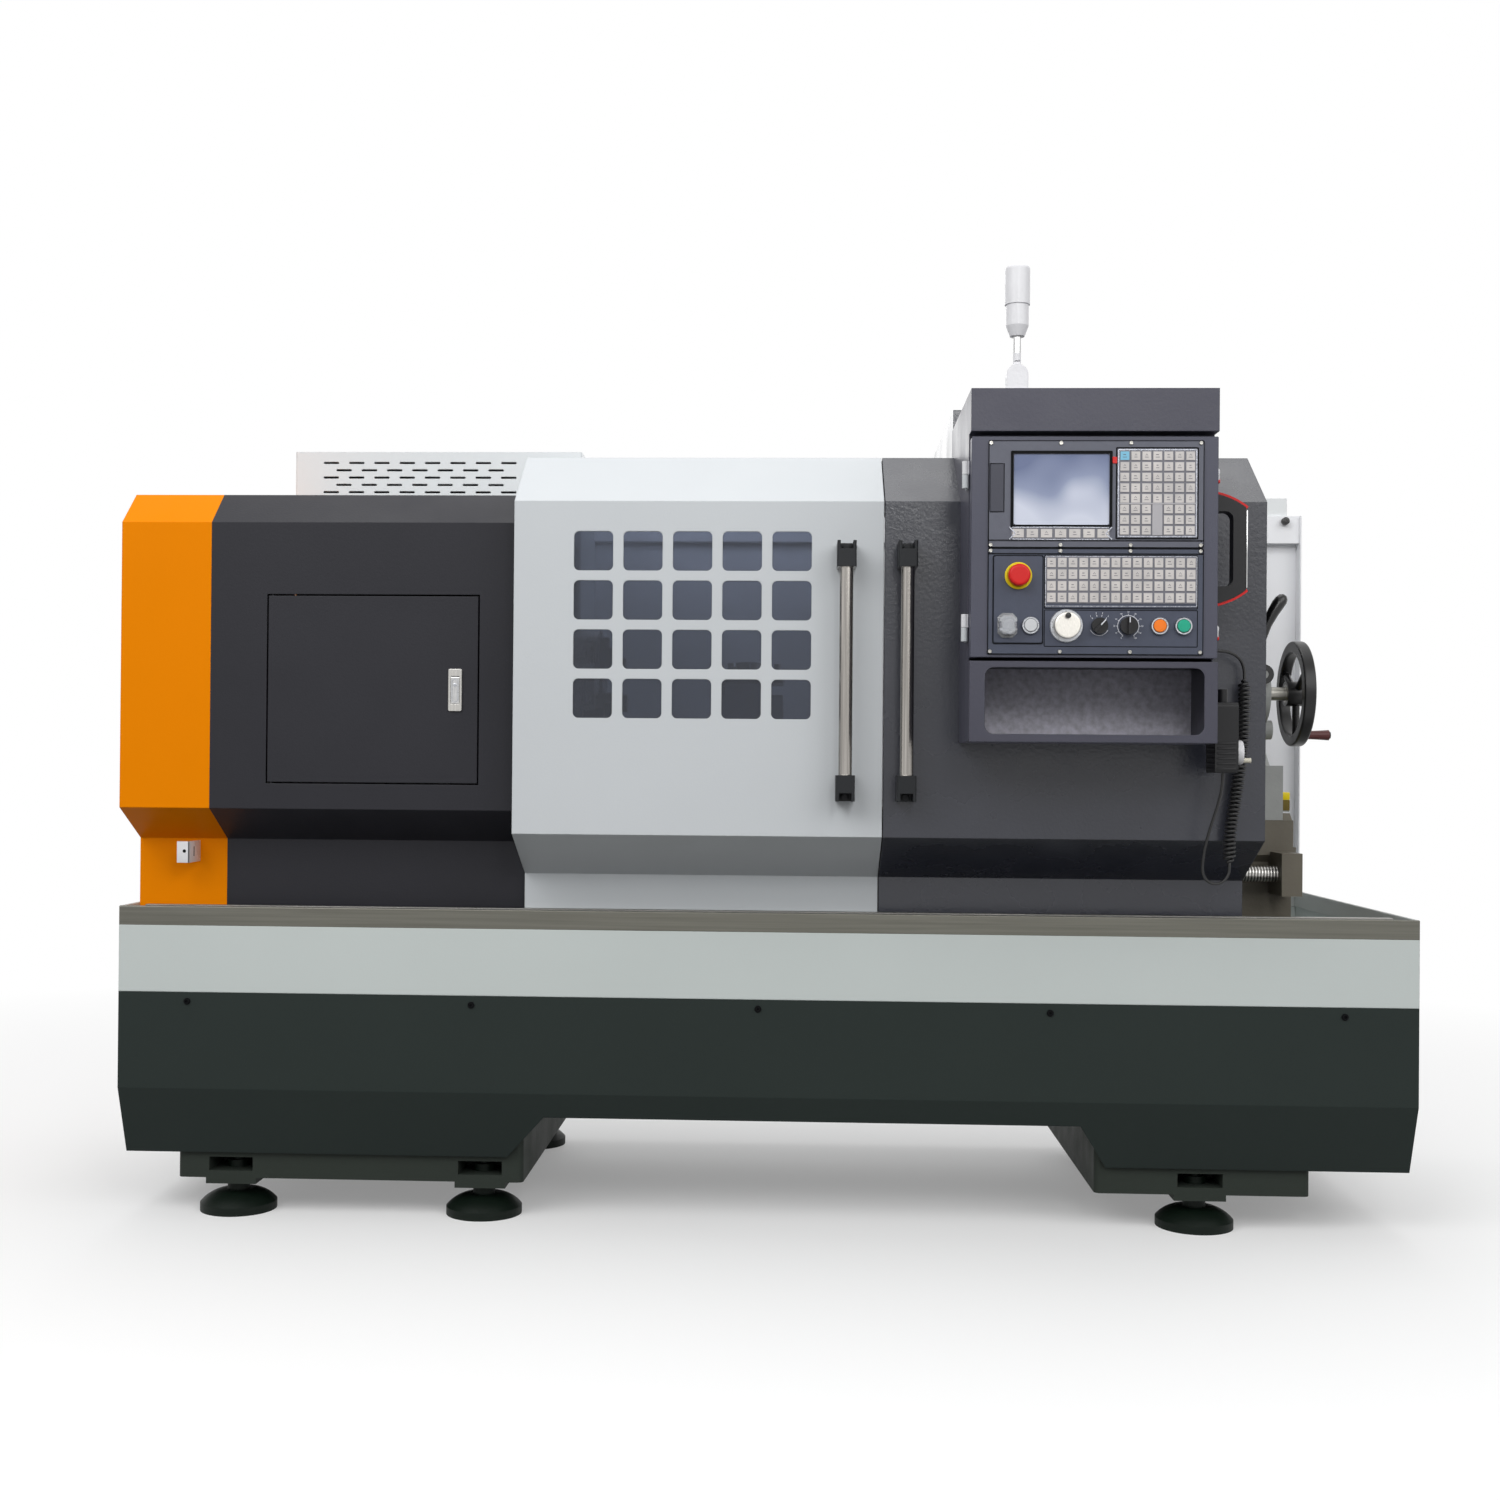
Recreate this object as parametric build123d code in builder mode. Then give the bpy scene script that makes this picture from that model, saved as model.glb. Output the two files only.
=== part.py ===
from build123d import *
import math
import os

os.makedirs("parts", exist_ok=True)

# A flat-bed turning lathe with sliding guards, in millimetres.
# X runs along the bed towards the tailstock, -Y faces the operator, Z is up from the floor.

# Shared sizes
overrun = 5.0
sheet = 3.0
running_gap = 0.3
bearing_gap = 0.05
panel_gap = 1.5
slide_gap = 0.35

# Chip tray, rim and skirt
tray_left = -1250.0
tray_length = 2500.0
tray_depth = 825.0
tray_front = -282.0
tray_underside = 446.0
tray_floor_thickness = 4.0
tray_wall_height = 167.0
rim_height = 37.5
rim_thickness = 6.0
rim_rounding = 2.0
skirt_fold_height = 258.0
skirt_bottom = 124.0
skirt_lean = 49.0
arch_top = 209.0
arch_left_gap = 46.0
arch_left_run = 76.0
arch_right_gap = 34.0
arch_right_run = 53.0

# Legs and levelling feet
left_leg_inset = 100.0
left_leg_length = 687.0
right_leg_inset = 185.0
right_leg_length = 413.0
leg_bottom = 72.0
leg_front_setback = 60.0
leg_depth = 752.0
leg_wall = 28.0
leg_top_plate = 35.0
leg_corner_rounding = 12.0
leg_window_width = 240.0
leg_window_height = 150.0
left_foot_offsets = [106.0, 602.0]
right_foot_offsets = [203.0]
foot_front_setback = 112.0
foot_spacing = 648.0
foot_pad_radius = 75.0
foot_pad_edge = 16.0
foot_pad_height = 40.0
foot_dome_share = 0.62
foot_neck_radius = 28.0
foot_stud_radius = 12.0
foot_stud_top = 104.0
foot_nut_radius = 22.0
foot_nut_height = 14.0
foot_hole_gap = 0.5
foot_lug_drop = 12.0
foot_lug_width = 100.0
foot_lug_depth = 104.0
foot_pocket_width = 87.0
foot_pocket_floor = 86.0
foot_pocket_height = 27.0

# Bed
bed_left_inset = 60.0
bed_right_inset = 185.0
bed_front_setback = 190.0
bed_width = 340.0
bed_rise = 182.0
bed_wall = 52.0
bed_foot_height = 40.0
bed_waist = 14.0
bed_way_depth = 70.0
bed_rib_thickness = 24.0
bed_rib_count = 7
bed_rib_drop = 60.0
way_left = -500.0
way_height = 14.0
way_width = 34.0
bed_stop_length = 32.0
bed_stop_height = 25.0
bed_stop_drop = 58.0
bed_stop_width = 130.0

# Spindle line
spindle_setback = 350.0
centre_height = 261.0

# Headstock
headstock_left = -1040.0
headstock_right = -520.0
headstock_width = 330.0
headstock_rise = 159.0
headstock_rounding = 25.0
headstock_lid_height = 14.0
headstock_lid_margin = 22.0
bearing_cap_radius = 105.0
bearing_cap_length = 20.0
headstock_rib_thickness = 26.0
headstock_rib_depth = 18.0
headstock_rib_count = 3

# Main spindle, its pulley and the belt
spindle_left = -1180.0
spindle_nose = -450.0
spindle_radius = 55.0
spindle_tail_radius = 45.0
spindle_bore_radius = 26.0
spindle_flange_radius = 85.0
spindle_flange_length = 36.0
pulley_left = -1150.0
pulley_width = 70.0
spindle_pulley_radius = 115.0
motor_pulley_radius = 60.0
pulley_flange = 6.0
pulley_flange_width = 6.0
belt_thickness = 8.0

# Chuck
chuck_radius = 125.0
chuck_length = 100.0
chuck_bore_radius = 32.0
chuck_groove_width = 8.0
chuck_groove_depth = 3.0
jaw_count = 3
jaw_slot_width = 30.0
jaw_slot_depth = 26.0
jaw_inner_radius = 44.0
jaw_length = 66.0
jaw_reach = 52.0
jaw_step_count = 3
jaw_floor_gap = 0.3

# Main motor on top of the headstock
motor_left = -1000.0
motor_length = 350.0
motor_setback = 400.0
motor_foot_height = 27.0
motor_radius = 84.0
motor_fin_count = 16
motor_fin_height = 6.0
motor_fin_width = 8.0
motor_foot_width = 150.0
motor_foot_share = 0.7
motor_shaft_radius = 19.0
motor_shaft_depth = 70.0
motor_fan_cover_length = 60.0

# Longitudinal screw, its servo motor and brackets
screw_setback = 142.0
screw_drop = 105.0
screw_radius = 16.0
screw_bracket_left = -640.0
screw_bracket_length = 40.0
screw_end_inset = 45.0
screw_bracket_height = 84.0
screw_bracket_front = 36.0
servo_length = 190.0
servo_size = 80.0
servo_rounding = 8.0
servo_cap_length = 40.0
servo_cap_inset = 6.0

# Carriage: saddle, cross slide and tool turret
saddle_left = -220.0
saddle_length = 380.0
saddle_thickness = 75.0
saddle_front_overhang = 70.0
saddle_back_overhang = 12.0
saddle_wing_cut = 90.0
apron_left = -160.0
apron_length = 260.0
apron_drop = 55.0
apron_rounding = 10.0
dovetail_centre = -30.0
dovetail_width = 100.0
dovetail_height = 26.0
dovetail_undercut = 12.0
cross_slide_width = 150.0
cross_slide_length = 360.0
cross_slide_front_setback = 62.0
cross_slide_thickness = 46.0
cross_servo_length = 140.0
cross_servo_size = 84.0
turret_setback = 165.0
turret_base_size = 132.0
turret_base_height = 46.0
turret_size = 140.0
turret_lid = 25.0
turret_post_radius = 22.0
turret_post_height = 60.0
turret_slot_height = 24.0
turret_slot_depth = 24.0
turret_bolt_radius = 6.0
turret_bolt_height = 14.0
turret_bolt_spacing = 34.0
turret_knob_radius = 26.0
turret_knob_height = 18.0
tool_size = 20.0
tool_length = 110.0
tool_tip_run = 14.0

# Tailstock
tailstock_inset = 365.0
tailstock_length = 344.0
tailstock_base_height = 109.0
tailstock_barrel_radius = 66.0
tailstock_barrel_overhang = 10.0
tailstock_barrel_length = 355.0
tailstock_web_width = 96.0
tailstock_web_inset = 40.0
tailstock_web_length = 280.0
tailstock_foot_width = 300.0
tailstock_cap_length = 36.0
tailstock_boss_radius = 20.0
tailstock_boss_length = 16.0
tailstock_boss_drop = 76.0
wiper_length = 40.0
wiper_width = 120.0
wiper_lift = 15.0
wiper_height = 38.0
quill_radius = 37.5
quill_reach = 50.0
quill_length = 345.0
quill_bore_radius = 16.0
quill_bore_inset = 115.0
centre_radius = 24.0
centre_length = 46.0
centre_neck = 14.0
handwheel_gap = 56.0
handwheel_radius = 110.0
handwheel_rim = 24.0
handwheel_rim_rounding = 3.5
handwheel_spoke_radius = 7.5
handwheel_spoke_count = 3
handwheel_hub_radius = 26.0
handwheel_hub_length = 44.0
handwheel_screw_radius = 14.0
handwheel_screw_length = 261.0
crank_radius = 86.0
crank_pin_radius = 6.0
crank_pin_length = 56.0
crank_head_radius = 7.5
crank_head_length = 3.0
grip_length = 50.0
grip_radius = 11.0
grip_waist_radius = 8.5
grip_middle_radius = 9.4
lever_inset = 21.0
lever_rise = 36.0
lever_hub_radius = 20.0
lever_hub_length = 22.0
lever_pin_radius = 9.0
lever_pin_end_gap = 3.0
lever_reach_x = 34.0
lever_reach_z = 150.0
lever_bow = 18.0
lever_rod_radius = 7.0
lever_knob_radius = 12.0

# Headstock cover and orange end cover
end_cover_left = -1243.5
cover_split = -1067.0
cover_right = -460.0
cover_base_setback = 90.0
cover_overhang = 21.0
cover_top_setback = 51.0
cover_back_setback = 540.0
cover_plinth_height = 129.0
cover_chamfer_height = 63.0
cover_slope_height = 64.0
cover_headroom = 13.0
cover_nose_gap = 12.0
access_left = -954.0
access_width = 408.0
access_sill = 52.0
access_height = 360.0
access_gap = 3.0
access_pan_depth = 16.0
access_pin_radius = 3.0
access_pin_inset = 6.0
access_pin_reach = 6.0
access_lug_height = 10.0
access_lug_width = 16.0
latch_plate_width = 26.0
latch_plate_height = 81.0
latch_plate_thickness = 4.0
latch_plate_rounding = 3.0
latch_centre_x = -589.0
latch_rise = 179.5
latch_paddle_width = 16.0
latch_paddle_height = 52.0
latch_paddle_thickness = 5.0
latch_pin_radius = 2.0
latch_recess_gap = 0.5

# Rear cabinet with ventilation slots
cabinet_left = -1070.0
cabinet_width = 650.0
cabinet_front_setback = 545.0
cabinet_depth = 357.0
cabinet_rise = 175.0
cabinet_rounding = 6.0
vent_width = 35.0
vent_height = 4.6
vent_pitch = 57.6
vent_row_pitch = 16.5
vent_first_x = -988.0
vent_drop = 25.0
vent_rows = 5
vents_in_row = 8

# Back guard and rails
guard_right = 1246.0
guard_top_drop = 2.0
guard_flange = 34.0
guard_beam_height = 64.0
guard_beam_depth = 26.0
rear_rail_left = 240.0
rear_rail_right = 1215.0
rear_rail_height = 42.5
rear_rail_width = 24.0
top_rail_left = -1060.0
top_rail_right = 900.0
top_rail_setback = 400.0
top_rail_width = 30.0
rail_post_height = 13.0
top_rail_height = 34.0
rail_post_xs = [-1000.0, -760.0, -520.0]
rail_post_length = 60.0
rail_arm_xs = [330.0, 860.0]
rail_arm_width = 36.0
floor_rail_setback = 50.0
floor_rail_width = 16.0
floor_rail_web = 4.0
floor_rail_sink = 1.0
floor_rail_end_gap = 30.0

# Left sliding door and right sliding hood, one bent section
guard_base_setback = 60.0
guard_overhang = 103.0
guard_slope_setback = 43.0
guard_plinth_height = 68.0
guard_chamfer_height = 83.0
guard_slope_height = 107.0
guard_roof_gap = 26.0
door_left = -464.0
door_width = 692.0
door_roof_setback = 470.0
door_hook_drop = 46.0
hood_left = 230.0
hood_width = 702.0
hood_roof_setback = 470.0
edge_frame_depth = 22.0
edge_frame_width = 4.0
pad_length = 60.0
door_pad_offsets = [40.0, 590.0]
hood_pad_offsets = [14.0, 250.0]
window_columns = 5
window_rows = 4
window_size = 73.5
window_pitch_x = 92.9
window_pitch_z = 92.1
window_rounding = 10.0
window_centre_x = -128.5
window_rise = 393.3
glazing_thickness = 5.0
glazing_margin = 22.0
bridge_front_setback = 91.0
bridge_back_setback = 832.0
bridge_height = 103.0
bridge_left = 371.0
bridge_width = 427.0
bridge_step_setback = 466.0

# Pull handles of the two guards
left_handle_x = 158.0
right_handle_x = 270.0
handle_rise = 67.0
handle_height = 478.0
handle_tube_radius = 12.5
handle_stand_off = 45.0
handle_block_width = 35.0
handle_block_height = 48.0
handle_block_depth = 62.0
handle_block_rounding = 3.0
handle_recess_width = 23.0
handle_recess_height = 15.0
handle_recess_base = 16.0
handle_screw_radius = 6.5
handle_screw_height = 7.0

# Control cabinet on the hood
box_left = 369.0
box_width = 429.0
box_overhang = 300.0
cap_height = 75.0
bin_height = 141.0
box_wall = 3.0
cap_drop = 14.0
bin_seam = 6.5
bin_opening_left = 396.0
bin_opening_width = 379.0
bin_sill = 14.0
bin_opening_height = 116.0
bin_opening_rounding = 16.0
panel_top_seam = 9.5
panel_height = 385.0
panel_depth = 34.0
panel_seam = 3.0
panel_edge_rounding = 2.0
hinge_barrel_radius = 6.0
hinge_pin_radius = 3.0
hinge_leaf_thickness = 3.0
hinge_leaf_reach = 26.0
hinge_height = 48.0
hinge_rises = [29.5, 299.5]

# Panel face
plate_rise = 2.5
unit_left = 400.0
unit_width = 371.0
unit_rise = 191.0
unit_height = 186.0
plate_rounding = 4.0
screen_left = 443.5
screen_width = 165.0
screen_rise = 40.0
screen_height = 123.0
screen_sink = 1.0
screen_thickness = 8.0
keypad_left = 625.0
keypad_width = 132.0
keypad_rise = 21.0
keypad_height = 148.0
keypad_columns = 7
keypad_rows = 8
soft_left = 439.0
soft_width = 171.0
soft_rise = 15.5
soft_height = 18.5
soft_columns = 7
membrane_left = 500.0
membrane_width = 259.0
membrane_rise = 88.5
membrane_height = 81.0
membrane_columns = 14
membrane_rows = 4
key_share = 0.8
key_base_thickness = 1.0
key_rise = 1.2
operator_rise = 5.5
operator_height = 184.0
sub_left = 410.0
sub_width = 84.0
sub_lift = 19.5
sub_height = 151.0
sub_rise = 1.5
control_row_rise = 49.5
estop_x = 452.0
estop_rise = 136.0
estop_ring_radius = 23.0
estop_ring_rise = 3.0
estop_head_radius = 19.0
estop_head_height = 16.0
estop_head_rounding = 5.0
estop_stem_radius = 10.0
estop_stem_length = 14.0
estop_travel = 4.0
guarded_x = 433.5
grey_x = 473.4
orange_x = 696.0
green_x = 737.0
button_radius = 11.0
button_chamfer = 1.1
button_collar_radius = 15.0
button_collar_rise = 6.0
button_rise = 9.0
button_stem_length = 12.0
button_guard_rise = 12.0
button_guard_width = 4.0
mpg_x = 535.6
mpg_base_radius = 28.5
mpg_base_rise = 4.0
mpg_radius = 23.0
mpg_height = 16.0
mpg_rounding = 3.0
mpg_dimple_radius = 5.0
mpg_dimple_offset = 16.0
knob_stem_radius = 5.0
knob_stem_length = 12.0
knob_lift = 0.6
mode_x = 592.6
mode_radius = 14.0
mode_height = 15.0
override_x = 642.6
override_radius = 15.0
override_height = 17.0
mode_rest_turn = 42.0
override_rest_turn = 0.0
pointer_width = 5.0
pointer_rise = 6.0
flap_left = 402.0
flap_width = 24.0
flap_rise = 62.5
flap_height = 83.0
flap_thickness = 5.0
flap_gap = 0.6
flap_pin_radius = 1.5
flap_pin_reach = 6.0

# Side grip and signal lamp
grip_setback = -232.0
side_grip_rise = 246.0
side_grip_height = 197.0
side_grip_reach = 62.0
side_grip_depth = 28.0
side_grip_bar = 24.0
side_grip_leg = 32.0
side_grip_slope = 27.0
side_grip_bow = 5.0
side_grip_window_rounding = 14.0
side_grip_rounding = 4.0
lamp_x = 459.5
lamp_setback = -200.0
lamp_pivot_rise = 43.5
lamp_foot_radius = 24.0
lamp_foot_height = 6.0
lamp_eye_radius = 19.5
lamp_eye_thickness = 7.0
lamp_pin_radius = 4.0
lamp_stem_radius = 7.0
lamp_stem_length = 70.5
lamp_body_radius = 20.5
lamp_body_height = 57.0
lamp_body_flare = 19.0
lamp_body_waist_radius = 13.0
lamp_lens_radius = 22.5
lamp_lens_height = 71.0
lamp_lens_rounding = 8.0

# Hand pendant and its curly cord
pendant_setback = -205.0
pendant_gap = 10.0
pendant_thickness = 41.0
pendant_width = 70.0
pendant_drop = 51.0
pendant_height = 125.0
pendant_rounding = 8.0
pendant_bracket_width = 40.0
pendant_bracket_rise = 66.0
pendant_bracket_height = 48.0
pendant_knob_radius = 9.0
pendant_knob_height = 24.0
pendant_dial_rise = 36.5
pendant_dial_radius = 22.0
pendant_dial_height = 14.0
pendant_dial_rounding = 2.8
pendant_dial_pin_radius = 4.0
pendant_dial_pin_length = 10.0
pendant_crank_radius = 4.0
pendant_crank_height = 14.0
pendant_crank_offset = 14.0
cord_radius = 3.3
coil_radius = 12.0
cord_arc_share = 0.45
gland_radius = 9.0
gland_length = 14.0
gland_setback = 158.0
gland_rise = 172.0
lead_route = [(812, -424, 1112), (836, -424, 1112), (860, -419, 1109), (878, -413, 1098), (886, -410, 1080),
              (886, -410, 1060)]
coil_route = [(886, -410, 1060), (886, -410, 1004), (884, -411, 946), (878, -410, 890), (870, -411, 832),
              (861, -410, 776), (861, -410, 722)]
tail_route = [(861, -410, 722), (861, -410, 702), (846, -412, 686), (825, -415, 686), (811, -419, 701),
              (809, -424, 724), (812, -436, 760), (820, -452, 800), (828, -470, 838), (830, -487, 868),
              (830, -487, 889)]

# Places worked out from the sizes above, along the machine and across it
tray_right = tray_left + tray_length
tray_back = tray_front + tray_depth
left_leg_start = tray_left + left_leg_inset
right_leg_start = tray_right - right_leg_inset - right_leg_length
foot_xs = [left_leg_start + offset for offset in left_foot_offsets]
foot_xs += [right_leg_start + offset for offset in right_foot_offsets]
arch_left = left_leg_start + left_leg_length + arch_left_gap
arch_right = right_leg_start - arch_right_gap
bed_left = tray_left + bed_left_inset
bed_right = tray_right - bed_right_inset
screw_end_bracket_left = bed_right - screw_end_inset
tailstock_left = bed_right - tailstock_inset
tailstock_right = tailstock_left + tailstock_length
tailstock_barrel_left = tailstock_left - tailstock_barrel_overhang
tailstock_barrel_right = tailstock_barrel_left + tailstock_barrel_length
tailstock_web_left = tailstock_left + tailstock_web_inset
quill_left = tailstock_barrel_left - quill_reach
quill_right = quill_left + quill_length
quill_bore_left = quill_left + quill_bore_inset
handwheel_left = tailstock_barrel_right + handwheel_gap
lever_x = tailstock_barrel_right - lever_inset
axis_y = tray_front + spindle_setback
bed_front = tray_front + bed_front_setback
bed_back = bed_front + bed_width
leg_front = tray_front + leg_front_setback
leg_back = leg_front + leg_depth
screw_y = tray_front + screw_setback
door_right = door_left + door_width
hood_right = hood_left + hood_width
guard_face = tray_front - guard_overhang
guard_base = tray_front + guard_base_setback
cover_face = tray_front - cover_overhang
cover_base = tray_front + cover_base_setback
cover_back = tray_front + cover_back_setback
box_right = box_left + box_width
box_face = tray_front - box_overhang
panel_back = box_face + panel_depth
box_front = panel_back + panel_seam
plate_face = box_face - plate_rise
cabinet_front = tray_front + cabinet_front_setback
cabinet_right = cabinet_left + cabinet_width
rail_front = tray_front + top_rail_setback
rail_back = rail_front + top_rail_width
front_way_y = bed_front + bed_wall / 2
back_way_y = bed_back - bed_wall / 2
turret_y = tray_front + turret_setback
motor_y = tray_front + motor_setback
gland_y = box_face + gland_setback

# Heights, each from the one it stands on
tray_floor = tray_underside + tray_floor_thickness
rim_top = tray_underside + tray_wall_height
rim_bottom = rim_top - rim_height
bed_top = rim_top + bed_rise
bed_stop_top = bed_top - bed_stop_drop
screw_height = bed_top - screw_drop
apron_bottom = screw_height - apron_drop
wiper_bottom = bed_top + wiper_lift
spindle_height = bed_top + centre_height
lever_height = spindle_height + lever_rise
headstock_top = spindle_height + headstock_rise
motor_height = headstock_top + motor_foot_height + motor_radius
saddle_bottom = bed_top + slide_gap
saddle_top = saddle_bottom + saddle_thickness
slide_bottom = saddle_top + slide_gap
slide_top = slide_bottom + cross_slide_thickness
turret_floor = slide_top + turret_base_height
head_bottom = turret_floor + running_gap
turret_slot_bottom = spindle_height - tool_size
turret_slot_top = turret_slot_bottom + turret_slot_height
head_top = turret_slot_top + turret_lid
cover_chamfer_bottom = rim_top + cover_plinth_height
cover_face_bottom = cover_chamfer_bottom + cover_chamfer_height
cover_top = motor_height + motor_radius + cover_headroom
cover_face_top = cover_top - cover_slope_height
access_bottom = cover_face_bottom + access_sill
latch_centre_z = access_bottom + latch_rise
cabinet_top = cover_top + cabinet_rise
vent_top_row = cabinet_top - vent_drop
top_rail_bottom = cover_top + rail_post_height
top_rail_top = top_rail_bottom + top_rail_height
floor_rail_top = rim_top - floor_rail_sink
guard_bottom = floor_rail_top + running_gap
guard_chamfer_bottom = rim_top + guard_plinth_height
guard_face_bottom = guard_chamfer_bottom + guard_chamfer_height
guard_roof = top_rail_top + guard_roof_gap
guard_face_top = guard_roof - guard_slope_height
guard_top = guard_roof - guard_top_drop
guard_beam_bottom = guard_top - guard_beam_height
window_centre_z = guard_face_bottom + window_rise
bridge_top = guard_roof + bridge_height
handle_bottom = guard_face_bottom + handle_rise
cap_bottom = guard_roof - cap_drop
box_top = cap_bottom + cap_height
panel_bottom = cap_bottom - panel_top_seam - panel_height
bin_top = panel_bottom - bin_seam
box_bottom = bin_top - bin_height
bin_opening_bottom = box_bottom + bin_sill
hinge_bottoms = [panel_bottom + rise for rise in hinge_rises]
unit_bottom = panel_bottom + unit_rise
screen_bottom = unit_bottom + screen_rise
keypad_bottom = unit_bottom + keypad_rise
soft_bottom = unit_bottom + soft_rise
flap_bottom = unit_bottom + flap_rise
operator_bottom = panel_bottom + operator_rise
membrane_bottom = operator_bottom + membrane_rise
sub_bottom = operator_bottom + sub_lift
control_row_z = operator_bottom + control_row_rise
estop_z = operator_bottom + estop_rise
side_grip_bottom = box_bottom + side_grip_rise
lamp_pivot_height = box_top + lamp_pivot_rise
lamp_body_bottom = lamp_pivot_height + lamp_stem_length
pendant_bottom = box_bottom - pendant_drop
pendant_bracket_bottom = pendant_bottom + pendant_bracket_rise
pendant_dial_z = pendant_bottom + pendant_dial_rise
gland_z = box_bottom + gland_rise


def block(x, y, z, mode=Mode.ADD):
    """A box between its low and high limits along each axis."""
    with Locations([tuple((low + high) / 2 for low, high in (x, y, z))]):
        Box(*(high - low for low, high in (x, y, z)), mode=mode)


def inner_line(points, thickness):
    """A bend line moved by the sheet's thickness to the right of its direction."""
    corners = [Vector(*point) for point in points]
    runs = [(b - a).normalized() for a, b in zip(corners, corners[1:])]
    normals = [Vector(run.Y, -run.X) for run in runs]
    moved = []
    for corner, m, n in zip(corners, normals[:1] + normals, normals + normals[-1:]):
        shifted = corner + (m + n) * (thickness / (1 + m.dot(n)))
        moved.append((shifted.X, shifted.Y))
    return moved


def along_x(points, x, mode=Mode.ADD):
    """An outline of (y, z) points, extruded between two places along X."""
    with BuildSketch(Plane.YZ.offset(x[0])) as section:
        with BuildLine():
            Polyline(*points, close=True)
        make_face()
    extrude(section.sketch, amount=x[1] - x[0], mode=mode)


def bent_sheet(points, thickness, x):
    """A sheet bent along a line of (y, z) points, its thickness laid inwards."""
    along_x(points + inner_line(points, thickness)[::-1], x)


def x_cylinder(radius, x, y, z, mode=Mode.ADD):
    """A round bar between two places along X."""
    with BuildSketch(Plane.YZ.offset(x[0])) as section:
        with Locations((y, z)):
            Circle(radius)
    extrude(section.sketch, amount=x[1] - x[0], mode=mode)


def y_cylinder(radius, x, y, z, mode=Mode.ADD):
    """A round bar between two places along Y."""
    with BuildSketch(Plane.XZ.offset(-y[1])) as section:
        with Locations((x, z)):
            Circle(radius)
    extrude(section.sketch, amount=y[1] - y[0], mode=mode)


def z_cylinder(radius, x, y, z, mode=Mode.ADD):
    """A round bar between two heights."""
    with BuildSketch(Plane.XY.offset(z[0])) as section:
        with Locations((x, y)):
            Circle(radius)
    extrude(section.sketch, amount=z[1] - z[0], mode=mode)


def around_x(points, y, z, mode=Mode.ADD):
    """A turned piece: an outline of (x, radius) points revolved about a line along X."""
    with BuildSketch(Plane((0, y, z), x_dir=(1, 0, 0), z_dir=(0, -1, 0))) as section:
        with BuildLine():
            Polyline(*points, close=True)
        make_face()
    revolve(section.sketch, axis=Axis((0, y, z), (1, 0, 0)), mode=mode)


def face_plate(x, z, y, rounding, mode=Mode.ADD):
    """A plate with rounded corners seen from the front, between two places along Y."""
    with BuildSketch(Plane.XZ.offset(-y[1])) as section:
        with Locations(((x[0] + x[1]) / 2, (z[0] + z[1]) / 2)):
            RectangleRounded(x[1] - x[0], z[1] - z[0], rounding)
    extrude(section.sketch, amount=y[1] - y[0], mode=mode)


def save(builder, name):
    """Label a finished piece and write it."""
    builder.part.label = name
    export_step(builder.part, f"parts/{name}.step")


# Legs: hollow castings, open below, with a pocket and a lug over each foot
legs = {"left_leg": (left_leg_start, left_leg_length), "right_leg": (right_leg_start, right_leg_length)}
foot_ys = [tray_front + foot_front_setback, tray_front + foot_front_setback + foot_spacing]
lug_bottom = leg_bottom - foot_lug_drop
for name, (start, length) in legs.items():
    end = start + length
    own_feet = [x for x in foot_xs if start < x < end]
    with BuildPart() as leg:
        block((start, end), (leg_front, leg_back), (leg_bottom, tray_underside))
        fillet(leg.edges().filter_by(Axis.Z), leg_corner_rounding)
        block(
            (start + leg_wall, end - leg_wall),
            (leg_front + leg_wall, leg_back - leg_wall),
            (leg_bottom - overrun, tray_underside - leg_top_plate),
            mode=Mode.SUBTRACT,
        )
        window_z = (leg_bottom + tray_underside) / 2
        with BuildSketch(Plane.YZ.offset(start)) as window:
            with Locations(((leg_front + leg_back) / 2, window_z)):
                RectangleRounded(leg_window_width, leg_window_height, leg_corner_rounding)
        extrude(window.sketch, amount=length, mode=Mode.SUBTRACT)
        for x in own_feet:
            for y, inward in zip(foot_ys, (1, -1)):
                wall = leg_front if inward > 0 else leg_back
                depth = sorted((wall, wall + inward * foot_lug_depth))
                half_lug = foot_lug_width / 2
                pocket_top = foot_pocket_floor + foot_pocket_height
                block((x - half_lug, x + half_lug), depth, (lug_bottom, pocket_top + leg_wall))
                half_pocket = foot_pocket_width / 2
                cut = sorted((wall - inward * overrun, wall + inward * (foot_lug_depth - leg_wall / 2)))
                block((x - half_pocket, x + half_pocket), cut, (foot_pocket_floor, pocket_top),
                      mode=Mode.SUBTRACT)
                z_cylinder(foot_stud_radius + foot_hole_gap, x, y,
                           (lug_bottom - overrun, foot_pocket_floor + overrun), mode=Mode.SUBTRACT)
    save(leg, name)

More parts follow.
